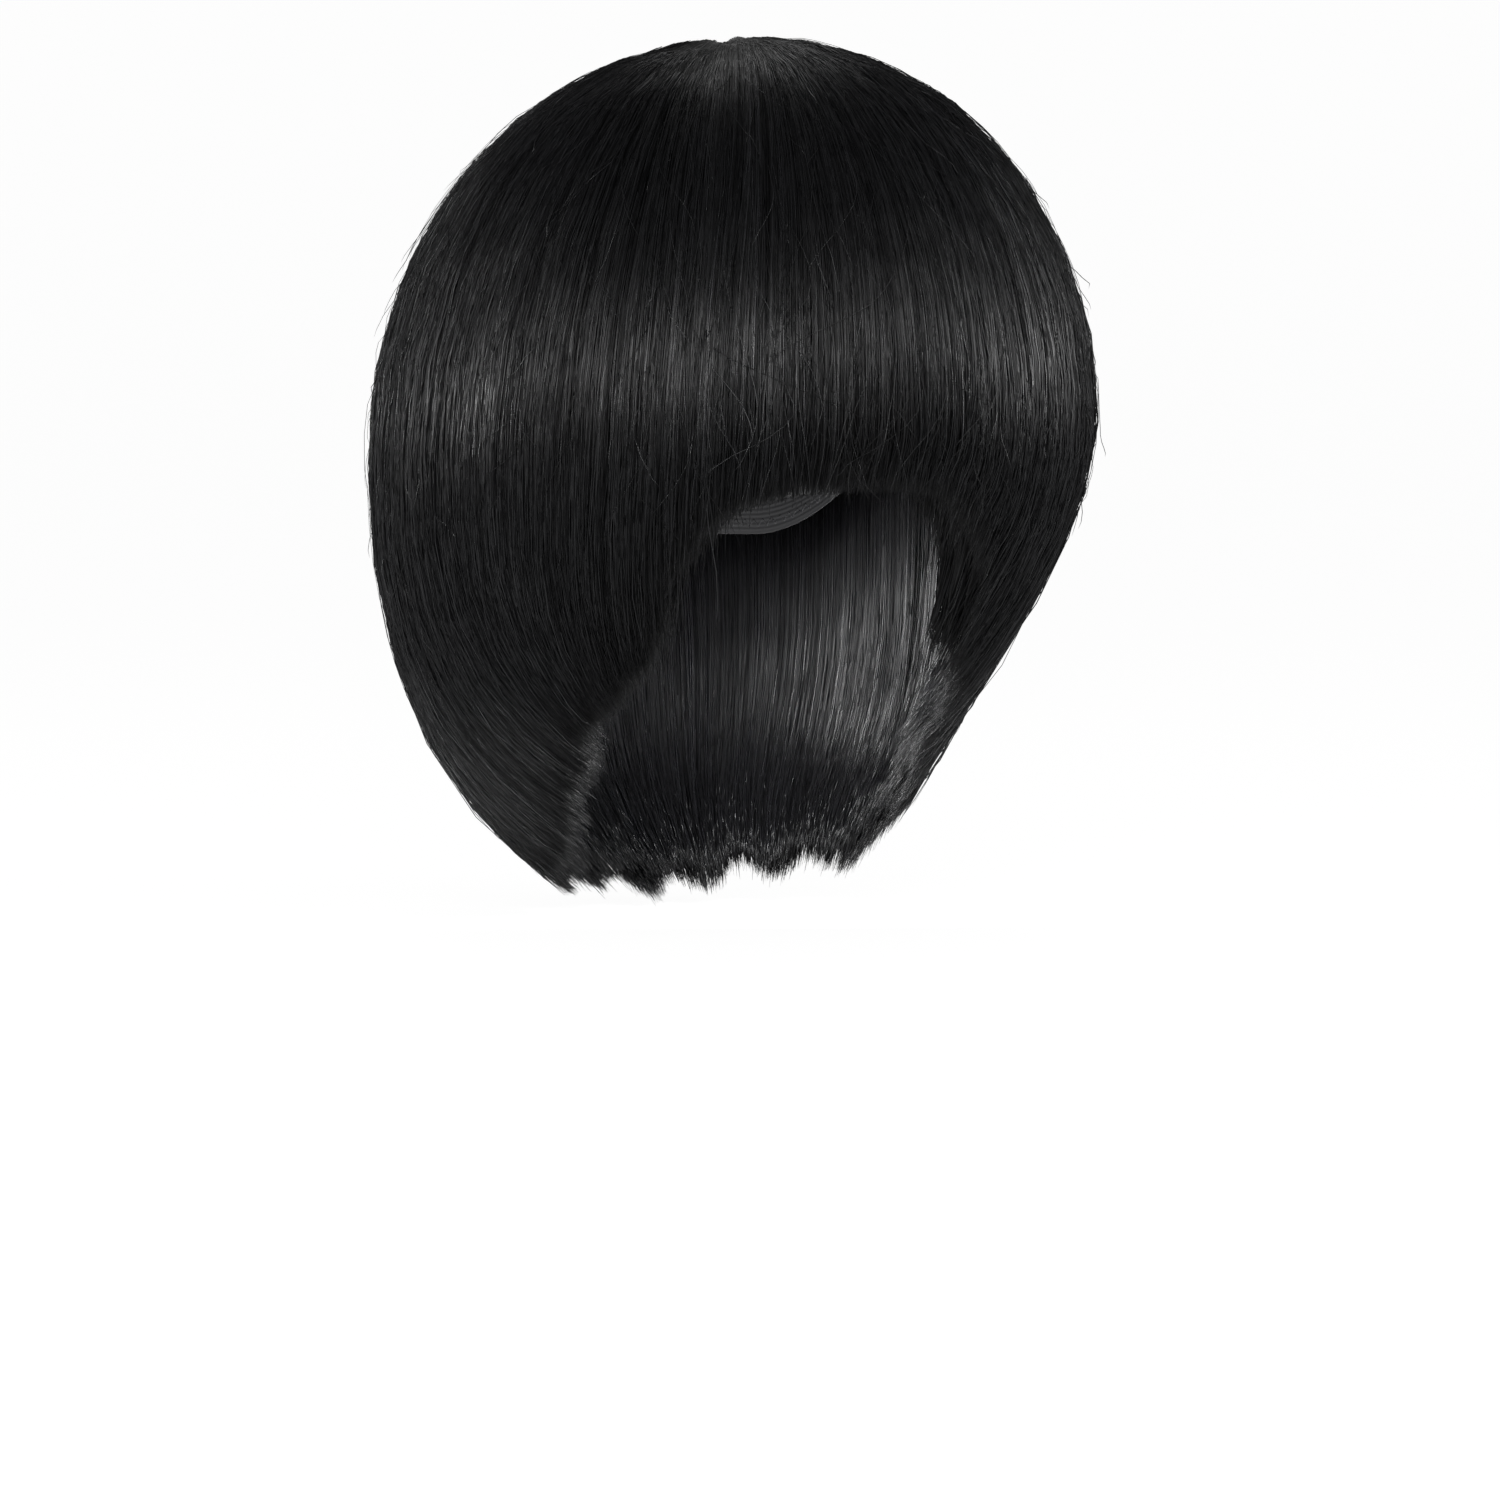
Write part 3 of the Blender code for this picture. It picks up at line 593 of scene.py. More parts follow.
# The top hair: densities are in strands for each degree of turn, and roots, tips and wander in degrees.
TOP_DENSITY = 62.0
CROWN_SHARE = 0.32
CROWN_ROOTS = (1.2, 9.0)
CROWN_SINK = 0.07
SPREAD_ROOT_SINES = (0.05, 0.97)
SPREAD_DEPTH = 0.985
SPREAD_SINK = 0.13
SPREAD_SINK_POWER = 1.3
TOP_SHORTEST = 35.0
TOP_RAGGED = 1.1
SIDE_RAGGED = 3.2
FACE_RAGGED = 1.6
TOP_TIP_LEVEL = 0.5
SIDE_TUFTS = 2.0
NAPE_TUFTS = 1.8
NAPE_LONGER = 1.2
HIGH_ROOT = 12.0
HIGH_ROOT_SINK = 0.05
LOW_ROOT_SINK = 0.2
TOP_CURL = (0.14, 0.30)
SIDE_UNCURL = 0.55
TOP_WANDER = 0.34
STRAY_SHARE = 0.13
STRAY_WANDER = (0.8, 3.4)
TOP_FRIZZ = 0.16
SIDE_FRIZZ = 0.7
FACE_FRIZZ = 0.85
FRIZZ_SPREAD = (0.4, 1.4)
SIDE_GATHER = 0.5
NAPE_GATHER = 0.3

FLYAWAY_DENSITY = 3.4
FLYAWAY_ROOTS = (6.0, 95.0)
FLYAWAY_LENGTHS = (14.0, 45.0)
FLYAWAY_SHORTEST = 22.0
FLYAWAY_PAST_END = 2.0
FLYAWAY_DEPTH = 0.99
FLYAWAY_SPRING = 0.05
FLYAWAY_ROOT_SINK = 0.12
FLYAWAY_WANDER = 3.2
FLYAWAY_CURL = (-0.10, 0.08)
FLYAWAY_FRIZZ = (0.05, 0.6)

# The masses of hair under the strands.
TOP_DEPTH = 0.62
CORE_HIGH_DEPTH = 0.82
CORE_GAP_DEPTH = 0.02
CORE_JOINT_TURN = 0.3
TOP_CORE_GAPS = (3.0, 6.0)
FRONT_CORE_GAPS = (6.0, 5.0)
BACK_CORE_GAPS = (12.0, 8.0)
CORE_ROWS = 40
CORE_COLUMNS_PER_DEGREE = 2.2
CORE_THIN_RAMP = (0.82, 0.18)
CORE_THINNING = 0.9
CORE_RAGGED = (-1.6, 1.0)
CORE_RIDGE = 0.012
CORE_RIPPLE = 0.003

# The hair that hangs from the wefts, with one density for each row.
FRINGE_TURN = 40.0
BACK_TURN = 112.0
NAPE_ROW_TURN = 112.0
LONG_ROW_TURN = 48.0
ROW_OVERHANG_TURN = 4.0
WEFT_SHARES = (0.97, 0.86, 0.74, 0.62, 0.50)
FRONT_WEFT_SHARES = (0.95, 0.76)
ROW_DENSITY = (26.0, 13.0, 5.0, 5.0, 5.0)
FRONT_ROW_DENSITY = (20.0, 12.0)
INMOST_SHARE = 0.55
INMOST_SPREAD = (-0.03, 0.02)
ROW_RAISE = 0.02
ROW_ROOT_SHARE = 0.3
ROW_RAGGED = 1.4
ROW_TIP_LEVEL = 0.4
ROW_CURL = (-0.05, 0.12)
ROW_CURL_SHARE = 0.3
ROW_WANDER = 0.7
ROW_LEAST_WANDER = 0.1
ROW_FRIZZ = (0.2, 1.2)
ROW_GATHER = 0.4
ROW_SHORTEST = 12.0
ROW_LAYERING = 3.0
FRONT_ROW_SHORTER = 1.5


def normal_draws(count, width=1.0):
    return np.abs(RNG.normal(0.0, width, count))


def strand_paths(turn, root, tip, depths, curl, wander, frizz, flow, gather=0.0, steps=STRAND_POINTS):
    """Paths from root to tip, as strands by points by XYZ. The depths are at the root and further on."""
    count = len(turn)
    share = (1 - (1 - np.linspace(0.0, 1.0, steps)) ** TIP_CROWDING)[None, :]
    fall = root[:, None] + (tip - root)[:, None] * share
    swing = np.sin(2 * np.pi * (share * RNG.uniform(*SWING_CYCLES, (count, 1)) + RNG.random((count, 1))))
    bend = RNG.normal(0.0, 1.0, (count, 1)) * ramp(share, *BEND_RAMP)
    drawn = gather * ramp(share, *GATHER_RAMP)
    turns = turn[:, None] + (tuft_middle(turn) - turn)[:, None] * drawn
    turns = turns + wander[:, None] * (swing * np.sqrt(share) + bend)
    risen = ramp(share, *RISE_RAMP)
    depth = depths[0][:, None] * (1 - risen) + depths[1][:, None] * risen
    depth = depth - curl[:, None] * ramp(share, *CURL_RAMP)
    if flow:
        depth = depth + lock_depth(turns, fall) + crown_depth(turns, fall)
        turns = turns + lock_sway(turn[:, None], fall)
        turns, fall = flow_place(turns, fall)
    paths = hair_point(turns, fall, depth)
    loose = ramp(share, *FRIZZ_RAMP)[..., None]
    kink = RNG.normal(0.0, 1.0, (count, 1, 3)) + KINK_SHARE * RNG.normal(0.0, 1.0, (count, steps, 3))
    return paths + loose * kink * frizz[:, None, None]


def strand_radii(count, thick=STRAND_RADIUS, steps=STRAND_POINTS):
    share = np.linspace(0.0, 1.0, steps)[None, :]
    taper = ROOT_THICKNESS + (1 - ROOT_THICKNESS) * ramp(share, *ROOT_TAPER_RAMP)
    taper = taper * (1 - TIP_TAPER * ramp(share, *TIP_TAPER_RAMP))
    return thick * RNG.uniform(*RADIUS_SPREAD, (count, 1)) * taper


def add_strands(node, label, paths, radii):
    """Splits the strands of one CAD node into pieces, and lets them stand for it."""
    count = len(paths)
    pieces = math.ceil(count / STRANDS_PER_PIECE)
    for number, part in enumerate(np.array_split(np.arange(count), pieces), start=1):
        name = f"{node}_{label}_{number}"
        tones = RNG.random(len(part)) ** 2
        link(name, tube_mesh(name, paths[part], radii[part], tones), node, FIBRE)


def top_strands(node, start, end):
    """Hair from the crown. More roots lie further down, so that it stays as dense where the head is wider."""
    count = int(TOP_DENSITY * (end - start) * QUICK_SHARE)
    turn = RNG.uniform(start, end, count)
    crown = RNG.random(count) < CROWN_SHARE
    spread = np.degrees(np.arcsin(RNG.uniform(*SPREAD_ROOT_SINES, count)))
    end_fall = hair_end(turn)
    spread = np.minimum(spread, end_fall - TOP_SHORTEST)
    root = np.where(crown, RNG.uniform(*CROWN_ROOTS, count), spread)
    side = side_share(turn)
    edge = face_edge(turn)
    nape = nape_share(turn)
    ragged = TOP_RAGGED + SIDE_RAGGED * side + FACE_RAGGED * edge
    tip = end_fall - normal_draws(count) * ragged + TOP_TIP_LEVEL * ragged
    tip = tip + (SIDE_TUFTS * side + NAPE_TUFTS * nape) * tuft_length(turn) + NAPE_LONGER * nape
    crown_level = 1.0 - CROWN_SINK * RNG.random(count)
    spread_level = SPREAD_DEPTH - SPREAD_SINK * RNG.random(count) ** SPREAD_SINK_POWER
    depth = np.where(crown, crown_level, spread_level)
    root_depth = np.where(root < HIGH_ROOT, depth - HIGH_ROOT_SINK, depth - LOW_ROOT_SINK)
    curl = RNG.uniform(*TOP_CURL, count) * (1 - SIDE_UNCURL * side)
    stray = RNG.random(count) < STRAY_SHARE
    wander = normal_draws(count, TOP_WANDER) + np.where(stray, RNG.uniform(*STRAY_WANDER, count), 0.0)
    frizz = (TOP_FRIZZ + SIDE_FRIZZ * side + FACE_FRIZZ * edge) * MM * RNG.uniform(*FRIZZ_SPREAD, count)
    gather = (SIDE_GATHER * side + NAPE_GATHER * nape)[:, None]
    paths = strand_paths(turn, root, tip, (root_depth, depth), curl, wander, frizz, True, gather)
    add_strands(node, "strands", paths, strand_radii(count))


def flyaways(node, start, end):
    """Loose hairs that have sprung out of the surface and cross the others."""
    count = int(FLYAWAY_DENSITY * (end - start) * QUICK_SHARE)
    turn = RNG.uniform(start, end, count)
    end_fall = hair_end(turn)
    root = np.minimum(RNG.uniform(*FLYAWAY_ROOTS, count), end_fall - FLYAWAY_SHORTEST)
    tip = np.minimum(root + RNG.uniform(*FLYAWAY_LENGTHS, count), end_fall + FLYAWAY_PAST_END)
    depth = FLYAWAY_DEPTH + FLYAWAY_SPRING * RNG.random(count) ** 2
    wander = RNG.normal(0.0, FLYAWAY_WANDER, count)
    curl = RNG.uniform(*FLYAWAY_CURL, count)
    frizz = RNG.uniform(*FLYAWAY_FRIZZ, count) * MM
    paths = strand_paths(turn, root, tip, (depth - FLYAWAY_ROOT_SINK, depth), curl, wander, frizz, True)
    add_strands(node, "flyaways", paths, strand_radii(count, FLYAWAY_RADIUS))


def layer_depths(row, rows):
    full = TOP_DEPTH / rows
    return full * (row - 1), full * row


def row_strands(node, row, shares, start, end, density, shorter):
    """Hair from a weft row. It shows at its ends, and from inside the wig."""
    count = int(density * (end - start) * QUICK_SHARE)
    turn = RNG.uniform(start, end, count)
    root = shares[row - 1] * rim_fall(turn)
    side = side_share(turn)
    ragged = ROW_RAGGED + SIDE_RAGGED * side
    tip = hair_end(turn) - shorter - normal_draws(count) * ragged + ROW_TIP_LEVEL * ragged
    tip = np.maximum(tip + SIDE_TUFTS * side * tuft_length(turn), root + ROW_SHORTEST)
    low, high = layer_depths(row, len(shares))
    inmost = RNG.random(count) < INMOST_SHARE
    inmost_depth = low + RNG.uniform(*INMOST_SPREAD, count)
    depth = np.where(inmost, inmost_depth, RNG.uniform(low, high, count) + ROW_RAISE)
    depths = (np.maximum(depth * ROW_ROOT_SHARE, 0.0), depth)
    curl = RNG.uniform(*ROW_CURL, count) * ROW_CURL_SHARE
    wander = normal_draws(count, ROW_WANDER) + ROW_LEAST_WANDER
    frizz = RNG.uniform(*ROW_FRIZZ, count) * MM
    gather = ROW_GATHER * side[:, None]
    paths = strand_paths(turn, root, tip, depths, curl, wander, frizz, False, gather, ROW_STRAND_POINTS)
    add_strands(node, "strands", paths, strand_radii(count, ROW_STRAND_RADIUS, ROW_STRAND_POINTS))


def core_sheet(node, start, end, root_share, root_gap, end_gap, depths, flow):
    """The closed mass of hair between two depths, ridged from root to tip, with gaps at both its ends."""
    low, high = depths
    columns = int((end - start) * CORE_COLUMNS_PER_DEGREE)
    turn = np.linspace(start, end, columns)[:, None]
    share = np.linspace(0.0, 1.0, CORE_ROWS)[None, :]
    ragged = RNG.uniform(*CORE_RAGGED, (columns, 1))
    top = root_share * rim_fall(turn) + root_gap
    fall = top + (hair_end(turn) - end_gap + ragged - top) * share
    ridge = RNG.normal(0.0, 1.0, (columns, 1)) * CORE_RIDGE
    ridge = ridge + RNG.normal(0.0, CORE_RIPPLE, (columns, CORE_ROWS))
    thin = ramp(share, *CORE_THIN_RAMP)
    middle = 0.5 * (low + high)
    inner_depth = low + (middle - low) * CORE_THINNING * thin + ridge * (1 - thin) * (low > 0)
    outer_depth = high - (high - middle) * CORE_THINNING * thin + ridge * (1 - thin)
    turn, fall = np.broadcast_arrays(turn, fall)
    place = flow_place(turn, fall) if flow else (turn, fall)
    name = f"{node}_mass"
    mesh = sheet_mesh(name, hair_point(*place, inner_depth), hair_point(*place, outer_depth))
    link(name, mesh, node, FIBRE_MASS)


def build_top_hair():
    edges = (-FRINGE_TURN, FRINGE_TURN, BACK_TURN, 360.0 - BACK_TURN, 360.0 - FRINGE_TURN)
    depths = (TOP_DEPTH + CORE_GAP_DEPTH, CORE_HIGH_DEPTH)
    for label, start, end in zip(("front", "left", "back", "right"), edges, edges[1:]):
        node = f"hair_top_{label}"
        top_strands(node, start, end)
        flyaways(node, start, end)
        core_sheet(node, start + CORE_JOINT_TURN, end - CORE_JOINT_TURN, 0.0, *TOP_CORE_GAPS, depths, True)


def row_start(row):
    return NAPE_ROW_TURN if row == 1 else LONG_ROW_TURN


def row_core(node, row, shares, start, end, root_gap, end_gap):
    low, high = layer_depths(row, len(shares))
    depths = (low + CORE_GAP_DEPTH, high - CORE_GAP_DEPTH)
    core_sheet(node, start, end, shares[row - 1], root_gap, end_gap, depths, False)


def build_row_hair():
    rows = len(WEFT_SHARES)
    for row, density in enumerate(ROW_DENSITY, start=1):
        node = f"hair_row_{row}"
        start, end = row_start(row), 360.0 - row_start(row)
        shorter = ROW_LAYERING * (rows + 1 - row) / rows
        strand_span = (start - ROW_OVERHANG_TURN, end + ROW_OVERHANG_TURN)
        row_strands(node, row, WEFT_SHARES, *strand_span, density, shorter)
        row_core(node, row, WEFT_SHARES, start, end, BACK_CORE_GAPS[0], shorter + BACK_CORE_GAPS[1])
    for row, density in enumerate(FRONT_ROW_DENSITY, start=1):
        node = f"hair_front_row_{row}"
        span = (-FRINGE_TURN, FRINGE_TURN)
        row_strands(node, row, FRONT_WEFT_SHARES, *span, density, FRONT_ROW_SHORTER)
        row_core(node, row, FRONT_WEFT_SHARES, *span, *FRONT_CORE_GAPS)


# ---- the cap ----

# How far the two faces of each layer stand off the head.
BAND_LIFTS = (0.0, 0.8 * MM)
PATCH_LIFTS = (0.0, 1.2 * MM)
RIB_LIFTS = (1.3 * MM, 2.1 * MM)
WEFT_LIFTS = (2.6 * MM, 3.8 * MM)
INNER_STRIP_LIFTS = (-1.1 * MM, -0.4 * MM)
LINING_LIFTS = (-2.2 * MM, -1.5 * MM)
TAPE_LIFTS = (-0.9 * MM, -0.4 * MM)

EDGE_POWER = 6
CLOTH_EDGE_SHARE = 0.35
RIB_DEPTH = 0.22
THREAD_PROUD = 0.02 * MM
STITCH_BOW = 0.12 * MM
STITCH_POINTS = 4
BAND_THREAD_RADIUS = 0.13 * MM
WEFT_THREAD_RADIUS = 0.11 * MM
SEAM_THREAD_RADIUS = 0.14 * MM
NET_THREAD_RADIUS = 0.2 * MM

FRONT_BAND_TURN = 56.5
SIDE_BAND_TURN = 128.5
PART_TURN = 0.3
PART_FALL = 0.6
BAND_RIBS = 11
BAND_ROWS = 45
BAND_STITCH_TURN = 1.1
BAND_STITCH_MARGIN = 0.8
BAND_STITCH_SWING = 0.45
BAND_SEAM_SHARES = (0.22, 0.78)
COMFORT_TURN = 48.0
COMFORT_INSET = 0.4

NET_THREADS = 150
NET_STEPS = 46
NET_SLANT = 0.62
NET_OVERLAP = 0.8
RIB_NAMES = ("back_centre", "back_left", "back_right", "side_left", "side_right")
RIB_MIDDLES = (180.0, 150.0, 210.0, 105.0, 255.0)
RIB_HALF_TURN = 2.6
WEFT_HALF_FALL = 0.9
WEFT_SEAMS = (-0.45, 0.35)
WEFT_STITCH_TURN = 1.3
WEFT_STITCH_MARGIN = 0.5
WEFT_STITCH_SWING = 0.12
SEAT_FALL = 7.6
KNIT = 0.16 * MM
PATCH_STITCH_TURN = 3.0
PATCH_SEAM_MARGIN = 1.6

TAB_TURN = 66.0
TAB_HALF_TURN = 9.0
TAB_GAP = 0.8
TAB_END_FALL = 91.0
TAB_TAPER = 0.35
TAB_SEAM = (-0.86, 0.86, 0.05, 0.94)

STRAP_HALF_HEIGHT = 4.0 * MM
STRAP_THICKNESS = 0.7 * MM
STRAP_EDGE_SHARE = 0.4
STRAP_WEAVE = 0.12
STRAP_ROLL = 0.55 * MM
LOOP_HALF_HEIGHT = 3.2 * MM
LOOP_RADIUS = 1.18 * MM
BAR_AT = 34.3 * MM
JOINTS = {joint["name"]: joint for joint in frame["joints"]}

TAPE_TURNS = (159.0, 177.0)
TAPE_INSET = 0.7
POCKET_COUNT = 4
POCKET_HALF_SHARE = 0.27
POCKET_HALF_FALL = 1.7
POCKET_LIFT = 0.65 * MM
POCKET_BOW = 2.2 * MM
POCKET_BOW_POWER = 0.7
POCKET_THICKNESS = 0.6 * MM
POCKET_WEAVE = 0.06 * MM


def checked(shape):
    """0 and 1 in turn, like the squares of a plain weave."""
    return np.indices(shape).sum(axis=0) % 2


def edge_profile(across, edge_share):
    """The thickness of cloth from edge to edge, thinner at the edges."""
    return edge_share + (1 - edge_share) * np.sqrt(1 - across**EDGE_POWER)


def cloth_mesh(turn, fall, lifts, weave=0.06, ribs=0):
    """A sheet of the cap over grids of turns and falls, with threads and ribs that stand proud."""
    across = np.linspace(-1.0, 1.0, turn.shape[1])[None, :]
    middle = 0.5 * (lifts[0] + lifts[1])
    half = 0.5 * (lifts[1] - lifts[0]) * edge_profile(across, CLOTH_EDGE_SHARE)
    grooves = RIB_DEPTH * (ribs > 0) * (1 + np.cos(np.pi * ribs * across))
    half = half * (1 - weave + 2 * weave * checked(turn.shape) - grooves)
    inside = cap_point(turn, fall, middle - half)
    outside = cap_point(turn, fall, middle + half)
    return sheet_mesh("sheet", inside, outside)


def thread_mesh(paths, radius):
    """Sewing thread or net thread: one closed tube along each path."""
    count, steps, _ = paths.shape
    return tube_mesh("thread", paths, np.full((count, steps), radius), RNG.random(count))


def link_parts(node, parts, body="cap"):
    """Puts the parts of one CAD node together as the piece that stands for it."""
    name = f"{node}_sewn"
    link(name, joined(name, parts), node, body=body)


def zigzag(turn, fall, lift, swing):
    """Stitches between neighbouring places, which swing to each side of the line."""
    fall = fall + np.where(np.arange(len(turn)) % 2 == 0, -swing, swing)
    share = np.linspace(0.0, 1.0, STITCH_POINTS)[None, :]
    turns = turn[:-1, None] + (turn[1:] - turn[:-1])[:, None] * share
    falls = fall[:-1, None] + (fall[1:] - fall[:-1])[:, None] * share
    return cap_point(turns, falls, lift + STITCH_BOW * np.sign(lift) * np.sin(np.pi * share))


def strip_turns(start, end, step=0.8):
    return np.linspace(start, end, int((end - start) / step))[:, None]


def strip_grid(turn, top, bottom, rows=11):
    """Grids of turns and falls for a strip that runs round the head."""
    share = np.linspace(0.0, 1.0, rows)[None, :]
    return np.broadcast_arrays(turn, top + (bottom - top) * share)


def band_piece(node, start, end):
    turn = strip_turns(start, end)
    grid = strip_grid(turn, band_top(turn), rim_fall(turn), BAND_ROWS)
    cloth = cloth_mesh(*grid, BAND_LIFTS, ribs=BAND_RIBS)
    places = np.arange(start + BAND_STITCH_MARGIN, end - BAND_STITCH_MARGIN, BAND_STITCH_TURN)
    stitches = [
        zigzag(places, rim_fall(places) - BAND_FALL * share, lift, BAND_STITCH_SWING)
        for share in BAND_SEAM_SHARES
        for lift in (BAND_LIFTS[0] - THREAD_PROUD, BAND_LIFTS[1] + THREAD_PROUD)
    ]
    seams = thread_mesh(np.concatenate(stitches), BAND_THREAD_RADIUS)
    link_parts(node, [(cloth, ELASTIC), (seams, THREAD)])


def build_bands():
    band_piece("front_band", -FRONT_BAND_TURN, FRONT_BAND_TURN)
    band_piece("side_band_left", FRONT_BAND_TURN + PART_TURN, SIDE_BAND_TURN)
    band_piece("nape_band", SIDE_BAND_TURN + PART_TURN, 360.0 - SIDE_BAND_TURN - PART_TURN)
    band_piece("side_band_right", 360.0 - SIDE_BAND_TURN, 360.0 - FRONT_BAND_TURN - PART_TURN)


def build_comfort_strip():
    turn = strip_turns(-COMFORT_TURN, COMFORT_TURN)
    grid = strip_grid(turn, band_top(turn) + COMFORT_INSET, rim_fall(turn) - COMFORT_INSET)
    link("comfort_strip_pile", cloth_mesh(*grid, INNER_STRIP_LIFTS, 0.25), "comfort_strip", VELVET)


def build_net():
    """Two families of threads that cross on the slant, between the crown patch and the rim bands."""
    top = PATCH_FALL - PART_FALL
    first = np.linspace(0.0, 360.0, NET_THREADS, endpoint=False)[:, None]
    share = np.linspace(0.0, 1.0, NET_STEPS)[None, :]
    families = []
    for number, lean in enumerate((-NET_SLANT, NET_SLANT)):
        guess = first + lean * 45.0
        fall = top + (band_top(guess) + NET_OVERLAP - top) * share
        turn = first + lean * (fall - top)
        fall = np.minimum(fall, band_top(turn) + NET_OVERLAP)
        families.append(cap_point(turn, fall, (0.25 + 0.3 * number) * MM))
    mesh = thread_mesh(np.concatenate(families), NET_THREAD_RADIUS)
    link("cap_net_threads", mesh, "cap_net", NET)


def build_ribs():
    share = np.linspace(0.0, 1.0, 90)[:, None]
    top = PATCH_FALL + PART_FALL
    for label, middle in zip(RIB_NAMES, RIB_MIDDLES):
        turn = np.linspace(middle - RIB_HALF_TURN, middle + RIB_HALF_TURN, 25)[None, :]
        turn, fall = np.broadcast_arrays(turn, top + (rim_fall(turn) - 1.0 - top) * share)
        cloth = cloth_mesh(turn, fall, RIB_LIFTS, ribs=6)
        link(f"rib_{label}_cloth", cloth, f"rib_{label}", ELASTIC)


def weft_piece(node, share, start, end):
    turn = strip_turns(start, end, 0.6)
    line = share * rim_fall(turn)
    grid = strip_grid(turn, line - WEFT_HALF_FALL, line + WEFT_HALF_FALL, 6)
    header = cloth_mesh(*grid, WEFT_LIFTS, 0.14)
    places = np.arange(start + WEFT_STITCH_MARGIN, end - WEFT_STITCH_MARGIN, WEFT_STITCH_TURN)
    stitches = [
        zigzag(places, share * rim_fall(places) + offset, WEFT_LIFTS[0] - THREAD_PROUD, WEFT_STITCH_SWING)
        for offset in WEFT_SEAMS
    ]
    seams = thread_mesh(np.concatenate(stitches), WEFT_THREAD_RADIUS)
    link_parts(node, [(header, WEFT), (seams, THREAD)])


def build_wefts():
    for row, share in enumerate(WEFT_SHARES, start=1):
        weft_piece(f"weft_row_{row}", share, row_start(row), 360.0 - row_start(row))
    for row, share in enumerate(FRONT_WEFT_SHARES, start=1):
        weft_piece(f"front_weft_{row}", share, -FRINGE_TURN, FRINGE_TURN)


def build_crown_patch():
    """A knitted disc, flat underneath in the middle."""
    turn = np.linspace(0.0, 360.0, 150, endpoint=False)[:, None]
    seat = np.linspace(0.4, SEAT_FALL, 16)
    slope = np.linspace(SEAT_FALL + 0.5, PATCH_FALL, 20)
    turn, fall = np.broadcast_arrays(turn, np.concatenate((seat, slope))[None, :])
    knit = KNIT * checked(turn.shape)
    inside = cap_point(turn, fall, knit)
    inside[..., 2] = np.minimum(inside[..., 2], 0.0)
    outside = cap_point(turn, fall, PATCH_LIFTS[1] - knit)
    disc = sheet_mesh("sheet", inside, outside, True)
    places = np.arange(0.0, 360.0, PATCH_STITCH_TURN)
    falls = np.full(len(places), PATCH_FALL - PATCH_SEAM_MARGIN)
    stitches = zigzag(places, falls, PATCH_LIFTS[0] - THREAD_PROUD, 0.5)
    seam = thread_mesh(stitches, SEAM_THREAD_RADIUS)
    link_parts("crown_patch", [(disc, PATCH), (seam, THREAD)])


def tab_place(side, across, down, half_turn, gap, end_fall):
    """Places on an ear tab, which narrows towards its lower end."""
    turn = side * (TAB_TURN + across * half_turn * (1 - TAB_TAPER * down**3))
    start = rim_fall(turn) + gap
    return turn, start + (end_fall - start) * down


def tab_seam():
    """The line of the seam, down one edge of the tab, across and up the other."""
    left, right, top, bottom = TAB_SEAM
    across = np.concatenate((np.full(14, left), np.linspace(left, right, 12), np.full(14, right)))
    down = np.concatenate((np.linspace(top, bottom, 14), np.full(12, bottom), np.linspace(bottom, top, 14)))
    return across, down


def build_ear_tab(side, suffix):
    across = np.linspace(-1.0, 1.0, 22)[:, None]
    down = np.linspace(0.0, 1.0, 26)[None, :]
    seam_place = tab_place(side, *tab_seam(), TAB_HALF_TURN, TAB_GAP, TAB_END_FALL)
    layers = (
        ("ear_tab", TAB_HALF_TURN, TAB_GAP, TAB_END_FALL, BAND_LIFTS, ELASTIC, "elastic", 0.1),
        ("ear_stay", 1.4, 2.0, TAB_END_FALL - 3.0, INNER_STRIP_LIFTS, STAY, "stay", 0.0),
        ("ear_lining", TAB_HALF_TURN - 0.6, 1.6, TAB_END_FALL - 0.6, LINING_LIFTS, VELVET, "velvet", 0.25),
    )
    seam_lifts = {"ear_tab": BAND_LIFTS[1] + THREAD_PROUD, "ear_lining": LINING_LIFTS[0] - THREAD_PROUD}
    for label, half_turn, gap, end_fall, lifts, material, slot, weave in layers:
        grid = tab_place(side, across, down, half_turn, gap, end_fall)
        parts = [(cloth_mesh(*grid, lifts, weave), material)]
        if label in seam_lifts:
            seam = zigzag(*seam_place, seam_lifts[label], 0.0)
            parts.append((thread_mesh(seam, SEAM_THREAD_RADIUS), THREAD))
        link_parts(f"{label}_{suffix}", parts, f"ear_tab_{suffix}")


def strap_axes(suffix):
    """The strap's root, and its directions along, inward and upward, from its joints."""
    swing = JOINTS[f"strap_{suffix}_swing"]
    along = np.array(JOINTS[f"hook_{suffix}_stretch"]["axis"], float)
    upward = np.array(swing["axis"], float) * np.sign(swing["axis"][2])
    inward = np.cross(upward, along)
    return np.array(swing["pos_m"], float), along, inward, upward


